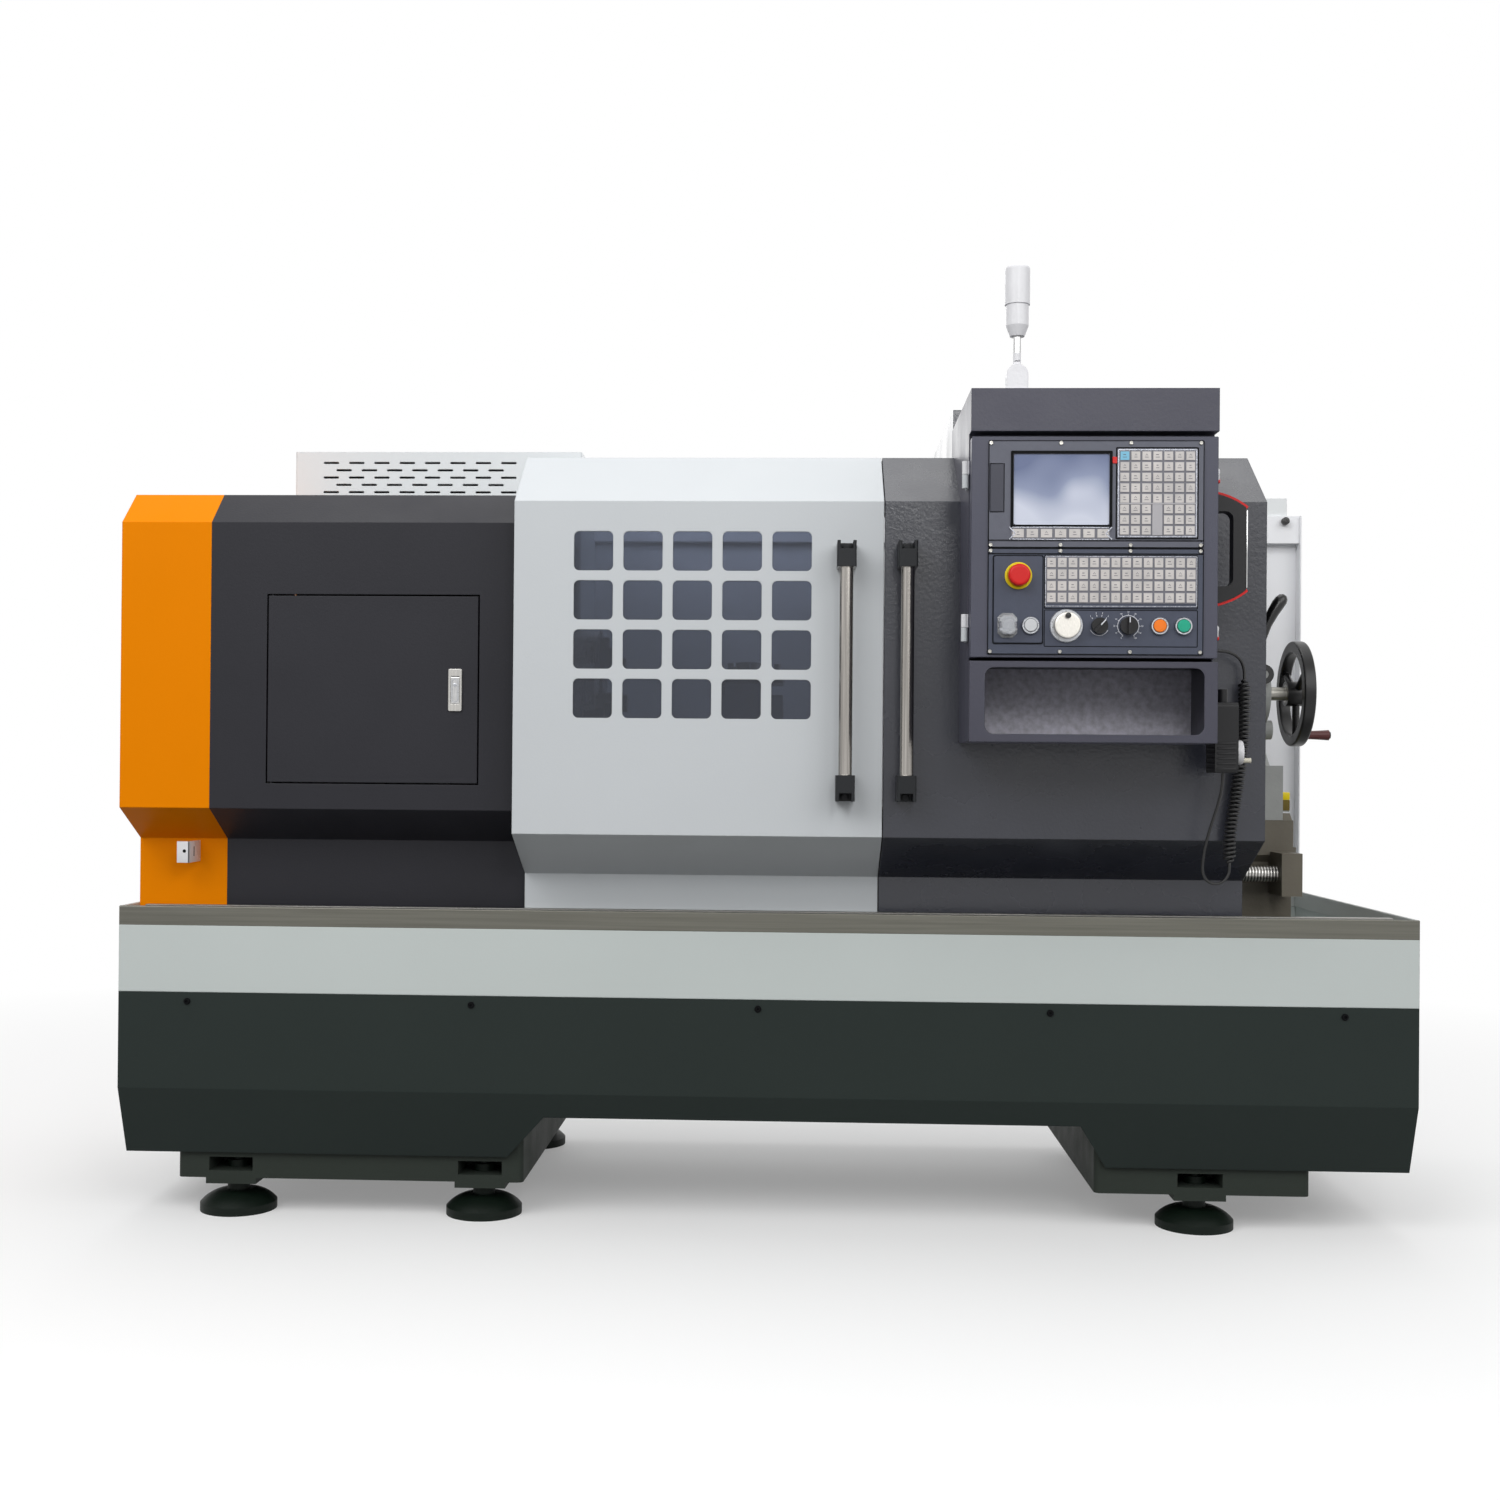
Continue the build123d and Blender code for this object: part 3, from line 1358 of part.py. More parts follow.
# Access door: a shallow pan with pivot holes and the plate of its flush latch
latch_plate_front = cover_face - latch_plate_thickness
half_paddle_w = latch_paddle_width / 2
half_paddle_h = latch_paddle_height / 2
with BuildPart() as access_door:
    pan_back = cover_face + access_pan_depth
    block((access_left, access_right), (cover_face, pan_back), (access_bottom, access_top))
    block((access_left + sheet, access_right - sheet), (cover_face + sheet, pan_back + overrun),
          (access_bottom + sheet, access_top - sheet), mode=Mode.SUBTRACT)
    for edge in (access_bottom, access_top):
        z_cylinder(access_pin_radius + bearing_gap, access_axis_x, access_axis_y,
                   (edge - overrun, edge + overrun),
                   mode=Mode.SUBTRACT)
    face_plate((latch_centre_x - latch_plate_width / 2, latch_centre_x + latch_plate_width / 2),
               (latch_centre_z - latch_plate_height / 2, latch_centre_z + latch_plate_height / 2),
               (latch_plate_front, cover_face), latch_plate_rounding)
    gap = latch_recess_gap
    block((latch_centre_x - half_paddle_w - gap, latch_centre_x + half_paddle_w + gap),
          (latch_plate_front - overrun, latch_plate_front + latch_paddle_thickness + gap),
          (latch_centre_z - half_paddle_h - gap, latch_centre_z + half_paddle_h + gap), mode=Mode.SUBTRACT)
    latch_pin_z = latch_centre_z + half_paddle_h - latch_paddle_thickness / 2
    latch_pin_y = latch_plate_front + latch_paddle_thickness / 2
    x_cylinder(latch_pin_radius, (latch_centre_x - half_paddle_w - gap, latch_centre_x + half_paddle_w + gap),
               latch_pin_y, latch_pin_z)
save(access_door, "access_door")

# Flush latch paddle, hung on the pin at its top edge
with BuildPart() as access_latch:
    outer_z = latch_centre_z - half_paddle_h
    block((latch_centre_x - half_paddle_w, latch_centre_x + half_paddle_w),
          (latch_plate_front, latch_plate_front + latch_paddle_thickness), (outer_z, latch_pin_z))
    x_cylinder(latch_paddle_thickness / 2, (latch_centre_x - half_paddle_w, latch_centre_x + half_paddle_w),
               latch_pin_y, latch_pin_z)
    x_cylinder(latch_pin_radius + bearing_gap,
               (latch_centre_x - half_paddle_w - overrun, latch_centre_x + half_paddle_w + overrun),
               latch_pin_y, latch_pin_z, mode=Mode.SUBTRACT)
save(access_latch, "access_latch")

# Rear cabinet: a closed sheet box on the tray's back edge, with staggered vents
with BuildPart() as rear_cabinet:
    cabinet_back = cabinet_front + cabinet_depth
    block((cabinet_left, cabinet_right), (cabinet_front, cabinet_back), (rim_top, cabinet_top))
    fillet(rear_cabinet.edges().filter_by(Axis.Z), cabinet_rounding)
    block((cabinet_left + sheet, cabinet_right - sheet), (cabinet_front + sheet, cabinet_back - sheet),
          (rim_top + sheet, cabinet_top - sheet), mode=Mode.SUBTRACT)
    with BuildSketch(Plane.XZ.offset(-cabinet_front - sheet - overrun)) as vents:
        for row in range(vent_rows):
            short_row = row % 2
            for index in range(vents_in_row - short_row):
                x = vent_first_x + (index + short_row / 2) * vent_pitch
                with Locations((x, vent_top_row - row * vent_row_pitch)):
                    SlotOverall(vent_width, vent_height)
    extrude(vents.sketch, amount=sheet + overrun * 2, mode=Mode.SUBTRACT)
save(rear_cabinet, "rear_cabinet")

# Back guard: a flanged sheet on the tray's back rim, stiffened by a beam at its top
guard_back = tray_back
guard_front = guard_back - sheet
with BuildPart() as back_guard:
    block((cabinet_right, guard_right), (guard_front, guard_back), (rim_top, guard_top))
    block((guard_right - sheet, guard_right), (guard_front - guard_flange, guard_front), (rim_top, guard_top))
    block((cabinet_right, guard_right - sheet), (guard_front - guard_beam_depth, guard_front),
          (guard_beam_bottom, guard_top))
save(back_guard, "back_guard")

# Rails: the rail in the tray, the top rail with its posts and arms, and the rear rail of the hood
with BuildPart() as door_rails:
    rail_inset = sheet + floor_rail_end_gap
    rail_face = tray_front + floor_rail_setback
    bent_sheet(
        [
            (rail_face, floor_rail_top),
            (rail_face + floor_rail_width, floor_rail_top),
            (rail_face + floor_rail_width, tray_floor),
        ],
        floor_rail_web,
        (tray_left + rail_inset, tray_right - rail_inset),
    )
    block((top_rail_left, top_rail_right), (rail_front, rail_back), (top_rail_bottom, top_rail_top))
    for x in rail_post_xs:
        block((x - rail_post_length / 2, x + rail_post_length / 2), (rail_front, rail_back),
              (cover_top, top_rail_bottom))
    for x in rail_arm_xs:
        block((x - rail_arm_width / 2, x + rail_arm_width / 2), (rail_back, guard_front - guard_beam_depth),
              (top_rail_bottom, top_rail_top))
    block((rear_rail_left, rear_rail_right), (guard_back - rear_rail_width, guard_back),
          (guard_top, guard_top + rear_rail_height))
save(door_rails, "door_rails")

# The bent section of the two sliding guards, from the tray up to the roof
guard_line = [
    (guard_base, guard_bottom),
    (guard_base, guard_chamfer_bottom),
    (guard_face, guard_face_bottom),
    (guard_face, guard_face_top),
    (tray_front + guard_slope_setback, guard_roof),
]


def edge_frames(left, right):
    """The stiffening frames along both ends of a sliding guard."""
    for low in (left, right - edge_frame_width):
        bent_sheet(guard_line, edge_frame_depth, (low, low + edge_frame_width))


def slide_pads(left, offsets):
    """The pads under a guard's roof that run on the top rail."""
    for place in offsets:
        block((left + place, left + place + pad_length), (rail_front, rail_back),
              (top_rail_top + running_gap, guard_roof - sheet))


# Left door: the bent sheet with a hooked roof and a grid of windows
with BuildPart() as left_door:
    door_roof_back = tray_front + door_roof_setback
    bent_sheet(guard_line + [(door_roof_back, guard_roof), (door_roof_back, guard_roof - door_hook_drop)],
               sheet, (door_left, door_right))
    edge_frames(door_left, door_right)
    slide_pads(door_left, door_pad_offsets)
    with BuildSketch(Plane.XZ.offset(-guard_face - sheet - overrun)) as windows:
        with Locations((window_centre_x, window_centre_z)):
            with GridLocations(window_pitch_x, window_pitch_z, window_columns, window_rows):
                RectangleRounded(window_size, window_size, window_rounding)
    extrude(windows.sketch, amount=sheet + overrun * 2, mode=Mode.SUBTRACT)
save(left_door, "left_door")

# Window sheet behind the door's grid
with BuildPart() as door_glazing:
    half_x = ((window_columns - 1) * window_pitch_x + window_size) / 2 + glazing_margin
    half_z = ((window_rows - 1) * window_pitch_z + window_size) / 2 + glazing_margin
    block((window_centre_x - half_x, window_centre_x + half_x),
          (guard_face + sheet, guard_face + sheet + glazing_thickness),
          (window_centre_z - half_z, window_centre_z + half_z))
save(door_glazing, "door_glazing")

# Right hood: the bent sheet with its roof, and the bridge back to the rear rail
rear_rail_top = guard_top + rear_rail_height
with BuildPart() as right_hood:
    bent_sheet(guard_line + [(tray_front + hood_roof_setback, guard_roof)], sheet, (hood_left, hood_right))
    edge_frames(hood_left, hood_right)
    slide_pads(hood_left, hood_pad_offsets)
    bridge_front = tray_front + bridge_front_setback
    bridge_back = tray_front + bridge_back_setback
    step = tray_front + bridge_step_setback
    bridge_underside = rear_rail_top + running_gap
    bridge_outline = [(bridge_front, guard_roof), (bridge_front, bridge_top), (bridge_back, bridge_top),
                      (bridge_back, bridge_underside), (step, bridge_underside), (step, guard_roof)]
    along_x(bridge_outline, (bridge_left, bridge_left + bridge_width))
    along_x(inner_line(bridge_outline, sheet), (bridge_left + sheet, bridge_left + bridge_width - sheet),
            mode=Mode.SUBTRACT)
save(right_hood, "right_hood")

# Pull handles: a steel tube between two blocks on each guard, each block screwed on through a recess
for name, x in (("left_handle", left_handle_x), ("right_handle", right_handle_x)):
    with BuildPart() as handle:
        handle_top = handle_bottom + handle_height
        tube_y = guard_face - handle_stand_off
        z_cylinder(handle_tube_radius, x, tube_y,
                   (handle_bottom + handle_block_height, handle_top - handle_block_height))
        for low, high in ((handle_bottom, handle_bottom + handle_block_height),
                          (handle_top - handle_block_height, handle_top)):
            with BuildSketch(Plane.XY.offset(low)) as section:
                with Locations((x, guard_face - handle_block_depth / 2)):
                    RectangleRounded(handle_block_width, handle_block_depth, handle_block_rounding)
            extrude(section.sketch, amount=high - low)
        for low, high in ((handle_bottom - overrun, handle_bottom + handle_recess_height),
                          (handle_top - handle_recess_height, handle_top + overrun)):
            recess_y = (guard_face - handle_block_depth - overrun, guard_face - handle_recess_base)
            block((x - handle_recess_width / 2, x + handle_recess_width / 2), recess_y, (low, high),
                  mode=Mode.SUBTRACT)
        for z in (handle_bottom + handle_recess_height / 2, handle_top - handle_recess_height / 2):
            y_cylinder(handle_screw_radius, x, (recess_y[1] - handle_screw_height, recess_y[1]), z)
    save(handle, name)

# Control cabinet: cap, open box behind the panel, tool bin, and the foot of the signal lamp
lamp_y = tray_front + lamp_setback
lamp_eye_half = lamp_eye_thickness / 2
with BuildPart() as control_cabinet:
    along_x(
        [
            (box_face, box_top),
            (bridge_front, box_top),
            (bridge_front, guard_roof),
            (tray_front + guard_slope_setback, guard_roof),
            (guard_face, guard_face_top),
            (guard_face, box_bottom),
            (box_face, box_bottom),
            (box_face, bin_top),
            (box_front, bin_top),
            (box_front, cap_bottom),
            (box_face, cap_bottom),
        ],
        (box_left, box_right),
    )
    inside_x = (box_left + box_wall, box_right - box_wall)
    along_x(
        [
            (box_face + box_wall, box_top - box_wall),
            (bridge_front - box_wall, box_top - box_wall),
            (bridge_front - box_wall, guard_roof + box_wall),
            (tray_front + guard_slope_setback - box_wall, guard_roof + box_wall),
            (guard_face - box_wall, guard_face_top + box_wall),
            (guard_face - box_wall, bin_top + box_wall),
            (box_front - overrun, bin_top + box_wall),
            (box_front - overrun, cap_bottom - box_wall),
            (box_front + box_wall, cap_bottom - box_wall),
            (box_front + box_wall, cap_bottom + box_wall),
            (box_face + box_wall, cap_bottom + box_wall),
        ],
        inside_x,
        mode=Mode.SUBTRACT,
    )
    block(inside_x, (box_face + box_wall, guard_face - box_wall), (box_bottom + box_wall, bin_top - box_wall),
          mode=Mode.SUBTRACT)
    face_plate((bin_opening_left, bin_opening_left + bin_opening_width),
               (bin_opening_bottom, bin_opening_bottom + bin_opening_height),
               (box_face - overrun, box_face + box_wall + overrun), bin_opening_rounding, mode=Mode.SUBTRACT)
    z_cylinder(lamp_foot_radius, lamp_x, lamp_y, (box_top, box_top + lamp_foot_height))
    for side in (-1, 1):
        ear = sorted((lamp_y + side * (lamp_eye_half + running_gap),
                      lamp_y + side * (lamp_eye_half + lamp_eye_thickness)))
        block((lamp_x - lamp_eye_radius, lamp_x + lamp_eye_radius), ear,
              (box_top + lamp_foot_height, lamp_pivot_height))
        y_cylinder(lamp_eye_radius, lamp_x, ear, lamp_pivot_height)
    y_cylinder(lamp_pin_radius, lamp_x,
               (lamp_y - lamp_eye_half - lamp_eye_thickness, lamp_y + lamp_eye_half + lamp_eye_thickness),
               lamp_pivot_height)
    x_cylinder(gland_radius, (box_right, box_right + gland_length), gland_y, gland_z)
save(control_cabinet, "control_cabinet")

# Panel hinges: fixed leaves with a barrel and a pin, on the cabinet's left side
hinge_x = box_left - hinge_barrel_radius
hinge_y = (panel_back + box_front) / 2
with BuildPart() as panel_hinges:
    for bottom in hinge_bottoms:
        middle = bottom + hinge_height / 2
        leaf_x = (box_left - hinge_leaf_thickness, box_left)
        leaf_y = hinge_y + hinge_barrel_radius + hinge_leaf_thickness
        block(leaf_x, (leaf_y, box_front + hinge_leaf_reach), (bottom, bottom + hinge_height))
        block(leaf_x, (box_front, leaf_y), (bottom, middle))
        block((hinge_x, box_left), (box_front, box_front + hinge_leaf_thickness), (bottom, middle))
        z_cylinder(hinge_barrel_radius, hinge_x, hinge_y, (bottom, middle))
        z_cylinder(hinge_pin_radius, hinge_x, hinge_y, (middle, bottom + hinge_height))
save(panel_hinges, "panel_hinges")

# Controls on the panel: (x, z, hole radius) of each that passes through its face
panel_top = panel_bottom + panel_height
push_buttons = {"guarded_button": guarded_x, "grey_button": grey_x, "orange_button": orange_x,
                "green_button": green_x}
knobs = {"mpg_wheel": mpg_x, "mode_knob": mode_x, "override_knob": override_x}
sub_face = plate_face - sub_rise
collar_faces = {name: sub_face if x < sub_left + sub_width else plate_face for name,
                x in push_buttons.items()}

# Panel door: a pan with raised plates, collars for the buttons and its hinge knuckles
with BuildPart() as panel_door:
    panel_x = (box_left + panel_gap, box_right - panel_gap)
    face_plate(panel_x, (panel_bottom, panel_top), (box_face, panel_back), panel_edge_rounding)
    block((panel_x[0] + sheet, panel_x[1] - sheet), (box_face + sheet, panel_back + overrun),
          (panel_bottom + sheet, panel_top - sheet), mode=Mode.SUBTRACT)
    unit_x = (unit_left, unit_left + unit_width)
    face_plate(unit_x, (unit_bottom, unit_bottom + unit_height), (plate_face, box_face), plate_rounding)
    face_plate(unit_x, (operator_bottom, operator_bottom + operator_height), (plate_face, box_face),
               plate_rounding)
    face_plate((sub_left, sub_left + sub_width), (sub_bottom, sub_bottom + sub_height),
               (sub_face, plate_face), plate_rounding)
    y_cylinder(estop_ring_radius, estop_x, (sub_face - estop_ring_rise, sub_face), estop_z)
    for name, x in push_buttons.items():
        face = collar_faces[name]
        y_cylinder(button_collar_radius, x, (face - button_collar_rise, face), control_row_z)
    y_cylinder(mpg_base_radius, mpg_x, (plate_face - mpg_base_rise, plate_face), control_row_z)
    guard_face_y = collar_faces["guarded_button"] - button_collar_rise
    for side in (-1, 1):
        ear = sorted((guarded_x + side * button_collar_radius,
                      guarded_x + side * (button_collar_radius - button_guard_width)))
        block(ear, (guard_face_y - button_guard_rise, guard_face_y + button_collar_rise),
              (control_row_z - button_radius / 2, control_row_z + button_radius / 2))
    through = (plate_face - sub_rise - button_collar_rise - overrun, box_face + sheet + overrun)
    for x in push_buttons.values():
        y_cylinder(button_radius + running_gap, x, through, control_row_z, mode=Mode.SUBTRACT)
    for x in knobs.values():
        y_cylinder(knob_stem_radius + bearing_gap, x, through, control_row_z, mode=Mode.SUBTRACT)
    y_cylinder(estop_stem_radius + running_gap, estop_x, through, estop_z, mode=Mode.SUBTRACT)
    face_plate((screen_left, screen_left + screen_width), (screen_bottom, screen_bottom + screen_height),
               through,
               plate_rounding, mode=Mode.SUBTRACT)
    flap_x = (flap_left, flap_left + flap_width)
    flap_z = (flap_bottom, flap_bottom + flap_height)
    block((flap_x[0] - flap_gap, flap_x[1] + flap_gap),
          (plate_face - overrun, plate_face + flap_thickness + flap_gap),
          (flap_z[0] - flap_gap, flap_z[1] + flap_gap), mode=Mode.SUBTRACT)
    flap_axis = (flap_x[0] + flap_thickness / 2, plate_face + flap_thickness / 2)
    for low, high in ((flap_z[0] - flap_gap, flap_z[0] + flap_pin_reach),
                      (flap_z[1] - flap_pin_reach, flap_z[1] + flap_gap)):
        z_cylinder(flap_pin_radius, flap_axis[0], flap_axis[1], (low, high))
    for bottom in hinge_bottoms:
        knuckle = (bottom + hinge_height / 2 + running_gap, bottom + hinge_height)
        z_cylinder(hinge_barrel_radius, hinge_x, hinge_y, knuckle)
        block((hinge_x, panel_x[0] + sheet), (panel_back - hinge_leaf_thickness, panel_back), knuckle)
        z_cylinder(hinge_pin_radius + bearing_gap, hinge_x, hinge_y,
                   (bottom, bottom + hinge_height + overrun),
                   mode=Mode.SUBTRACT)
save(panel_door, "panel_door")

# Screen, let into the upper plate
with BuildPart() as screen:
    face_plate((screen_left, screen_left + screen_width), (screen_bottom, screen_bottom + screen_height),
               (plate_face + screen_sink, plate_face + screen_sink + screen_thickness), plate_rounding)
save(screen, "screen")

# Key pads: a thin base with raised keys, for the unit, its soft keys and the operator plate
pads = [
    (keypad_left, keypad_width, keypad_bottom, keypad_height, keypad_columns, keypad_rows),
    (soft_left, soft_width, soft_bottom, soft_height, soft_columns, 1),
    (membrane_left, membrane_width, membrane_bottom, membrane_height, membrane_columns, membrane_rows),
]
with BuildPart() as key_pads:
    for left, width, bottom, height, columns, rows in pads:
        base_front = plate_face - key_base_thickness
        block((left, left + width), (base_front, plate_face), (bottom, bottom + height))
        pitch_x = width / columns
        pitch_z = height / rows
        with BuildSketch(Plane.XZ.offset(-base_front)) as keys:
            with Locations((left + width / 2, bottom + height / 2)):
                with GridLocations(pitch_x, pitch_z, columns, rows):
                    Rectangle(pitch_x * key_share, pitch_z * key_share)
        extrude(keys.sketch, amount=key_rise)
save(key_pads, "key_pads")

# Emergency stop: a mushroom head on a stem
with BuildPart() as estop_button:
    head_back = sub_face - estop_ring_rise - estop_travel - running_gap
    y_cylinder(estop_head_radius, estop_x, (head_back - estop_head_height, head_back), estop_z)
    fillet(estop_button.edges().sort_by(Axis.Y)[0], estop_head_rounding)
    y_cylinder(estop_stem_radius, estop_x, (head_back, head_back + estop_stem_length), estop_z)
save(estop_button, "estop_button")

# Push buttons: round caps in their collars
for name, x in push_buttons.items():
    with BuildPart() as button:
        cap_front = collar_faces[name] - button_rise
        y_cylinder(button_radius, x, (cap_front, cap_front + button_stem_length), control_row_z)
        chamfer(button.edges().sort_by(Axis.Y)[0], button_chamfer)
    save(button, name)

# Hand wheel of the panel: a plain disc with a finger dimple
with BuildPart() as mpg_wheel:
    wheel_back = plate_face - mpg_base_rise - knob_lift
    y_cylinder(mpg_radius, mpg_x, (wheel_back - mpg_height, wheel_back), control_row_z)
    fillet(mpg_wheel.edges().sort_by(Axis.Y)[0], mpg_rounding)
    with Locations((mpg_x, wheel_back - mpg_height - mpg_dimple_radius / 2,
                    control_row_z + mpg_dimple_offset)):
        Sphere(mpg_dimple_radius, mode=Mode.SUBTRACT)
    y_cylinder(knob_stem_radius, mpg_x, (wheel_back, wheel_back + knob_stem_length), control_row_z)
save(mpg_wheel, "mpg_wheel")

# Rotary knobs: a round skirt with a raised pointer bar
for name, radius, height, turn in (("mode_knob", mode_radius, mode_height, mode_rest_turn),
                                   ("override_knob", override_radius, override_height, override_rest_turn)):
    with BuildPart() as knob:
        x = knobs[name]
        knob_back = plate_face - knob_lift
        skirt_front = knob_back - height + pointer_rise
        y_cylinder(radius, x, (skirt_front, knob_back), control_row_z)
        block((x - pointer_width / 2, x + pointer_width / 2), (knob_back - height, skirt_front),
              (control_row_z - radius, control_row_z + radius))
        y_cylinder(knob_stem_radius, x, (knob_back, knob_back + knob_stem_length), control_row_z)
    knob.part = knob.part.rotate(Axis((x, 0, control_row_z), (0, 1, 0)), turn)
    save(knob, name)

# Socket flap, hinged on two small pins along its left edge
with BuildPart() as socket_flap:
    block((flap_axis[0], flap_x[1]), (plate_face, plate_face + flap_thickness), flap_z)
    z_cylinder(flap_thickness / 2, flap_axis[0], flap_axis[1], flap_z)
    for low, high in ((flap_z[0] - overrun, flap_z[0] + flap_pin_reach + running_gap),
                      (flap_z[1] - flap_pin_reach - running_gap, flap_z[1] + overrun)):
        z_cylinder(flap_pin_radius + bearing_gap, flap_axis[0], flap_axis[1], (low, high), mode=Mode.SUBTRACT)
save(socket_flap, "socket_flap")

# Side grip: a D-shaped bar with sloped, bowed ends on the cabinet's right side
with BuildPart() as side_grip:
    grip_y = tray_front + grip_setback
    out = box_right + side_grip_reach
    side_grip_top = side_grip_bottom + side_grip_height
    slope_middle = (box_right + out) / 2
    with BuildSketch(Plane.XZ.offset(-grip_y - side_grip_depth / 2)) as outline:
        with BuildLine():
            Line((box_right, side_grip_top), (box_right, side_grip_bottom))
            ThreePointArc(
                (box_right, side_grip_bottom),
                (slope_middle, side_grip_bottom + side_grip_slope / 2 - side_grip_bow),
                (out, side_grip_bottom + side_grip_slope),
            )
            Line((out, side_grip_bottom + side_grip_slope), (out, side_grip_top - side_grip_slope))
            ThreePointArc(
                (out, side_grip_top - side_grip_slope),
                (slope_middle, side_grip_top - side_grip_slope / 2 + side_grip_bow),
                (box_right, side_grip_top),
            )
        make_face()
    extrude(outline.sketch, amount=side_grip_depth)
    fillet(side_grip.edges().filter_by(Axis.Z).group_by(Axis.X)[-1], side_grip_rounding)
    window_right = out - side_grip_bar
    face_plate((box_right * 2 - window_right, window_right),
               (side_grip_bottom + side_grip_leg, side_grip_top - side_grip_leg),
               (grip_y - side_grip_depth, grip_y + side_grip_depth), side_grip_window_rounding,
               mode=Mode.SUBTRACT)
save(side_grip, "side_grip")

# Signal lamp: the folding stem with its body, and the lens on top
body_top = lamp_body_bottom + lamp_body_height
with BuildPart() as lamp_body:
    with BuildSketch(Plane((lamp_x, lamp_y, 0), x_dir=(1, 0, 0), z_dir=(0, -1, 0))) as half:
        with BuildLine():
            Polyline((0, lamp_pivot_height), (lamp_stem_radius, lamp_pivot_height),
                     (lamp_stem_radius, lamp_body_bottom),
                     (lamp_body_waist_radius, lamp_body_bottom),
                     (lamp_body_radius, lamp_body_bottom + lamp_body_flare),
                     (lamp_body_radius, body_top), (0, body_top), close=True)
        make_face()
    revolve(half.sketch, axis=Axis((lamp_x, lamp_y, 0), (0, 0, 1)))
    y_cylinder(lamp_eye_radius + lamp_eye_thickness, lamp_x,
               (lamp_y - lamp_eye_half - lamp_stem_radius, lamp_y - lamp_eye_half),
               lamp_pivot_height, mode=Mode.SUBTRACT)
    y_cylinder(lamp_eye_radius + lamp_eye_thickness, lamp_x,
               (lamp_y + lamp_eye_half, lamp_y + lamp_eye_half + lamp_stem_radius),
               lamp_pivot_height, mode=Mode.SUBTRACT)
    y_cylinder(lamp_eye_radius, lamp_x, (lamp_y - lamp_eye_half, lamp_y + lamp_eye_half), lamp_pivot_height)
    y_cylinder(lamp_pin_radius + bearing_gap, lamp_x, (lamp_y - lamp_eye_radius, lamp_y + lamp_eye_radius),
               lamp_pivot_height, mode=Mode.SUBTRACT)
save(lamp_body, "lamp_body")

with BuildPart() as lamp_lens:
    z_cylinder(lamp_lens_radius, lamp_x, lamp_y, (body_top, body_top + lamp_lens_height))
    fillet(lamp_lens.edges().group_by(Axis.Z)[-1], lamp_lens_rounding)
save(lamp_lens, "lamp_lens")

# Hand pendant: a small box on a bracket, with a knob on top
pendant_y = tray_front + pendant_setback
pendant_left = box_right + pendant_gap
pendant_right = pendant_left + pendant_thickness
pendant_top = pendant_bottom + pendant_height
with BuildPart() as pendant_body:
    with BuildSketch(Plane.YZ.offset(pendant_left)) as section:
        with Locations((pendant_y, (pendant_bottom + pendant_top) / 2)):
            RectangleRounded(pendant_width, pendant_height, pendant_rounding)
    extrude(section.sketch, amount=pendant_thickness)
    block((box_right, pendant_left),
          (pendant_y - pendant_bracket_width / 2, pendant_y + pendant_bracket_width / 2),
          (pendant_bracket_bottom, pendant_bracket_bottom + pendant_bracket_height))
    z_cylinder(pendant_knob_radius, (pendant_left + pendant_right) / 2, pendant_y,
               (pendant_top, pendant_top + pendant_knob_height))
    x_cylinder(pendant_dial_pin_radius + bearing_gap,
               (pendant_right - pendant_dial_pin_length - running_gap, pendant_right + overrun),
               pendant_y, pendant_dial_z, mode=Mode.SUBTRACT)
save(pendant_body, "pendant_body")

# Pendant dial with its finger knob, on a pin in the pendant
with BuildPart() as pendant_dial:
    dial_left = pendant_right + running_gap
    dial_right = dial_left + pendant_dial_height
    x_cylinder(pendant_dial_radius, (dial_left, dial_right), pendant_y, pendant_dial_z)
    fillet(pendant_dial.edges().sort_by(Axis.X)[-1], pendant_dial_rounding)
    x_cylinder(pendant_dial_pin_radius, (pendant_right - pendant_dial_pin_length, dial_left), pendant_y,
               pendant_dial_z)
    x_cylinder(pendant_crank_radius, (dial_right, dial_right + pendant_crank_height), pendant_y,
               pendant_dial_z - pendant_crank_offset)
save(pendant_dial, "pendant_dial")


def cord_path(route):
    """Straight runs joined by tangent arcs as large as the runs allow, and the arcs' radii."""
    points = [Vector(*point) for point in route]
    runs = [b - a for a, b in zip(points, points[1:])]
    radii = []
    for a, b in zip(runs, runs[1:]):
        half_turn = math.radians(a.get_angle(b)) / 2
        radii.append(cord_arc_share * min(a.length, b.length) / math.tan(half_turn))
    return points, radii


# Curly cord of the pendant: the lead from the gland, the coil, and the tail up to the pendant
for name, route, radius in (
    ("cord_lead", lead_route, cord_radius),
    ("cord_coil", coil_route, coil_radius),
    ("cord_tail", tail_route, cord_radius),
):
    points, radii = cord_path(route)
    print(name, "radii", [round(r) for r in radii])
    with BuildPart() as cord:
        with BuildLine() as path:
            FilletPolyline(*points, radius=radii)
        with BuildSketch(Plane(path.line @ 0, z_dir=path.line % 0)) as section:
            Circle(radius)
        sweep(section.sketch, path=path.line)
    length = sum(edge.length for edge in path.edges())
    print(name, "length", round(length), "volume ratio",
          round(cord.part.volume / (math.pi * radius**2 * length), 3))
    save(cord, name)
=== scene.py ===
import math

import bmesh
import bpy
from mathutils import Matrix, Vector


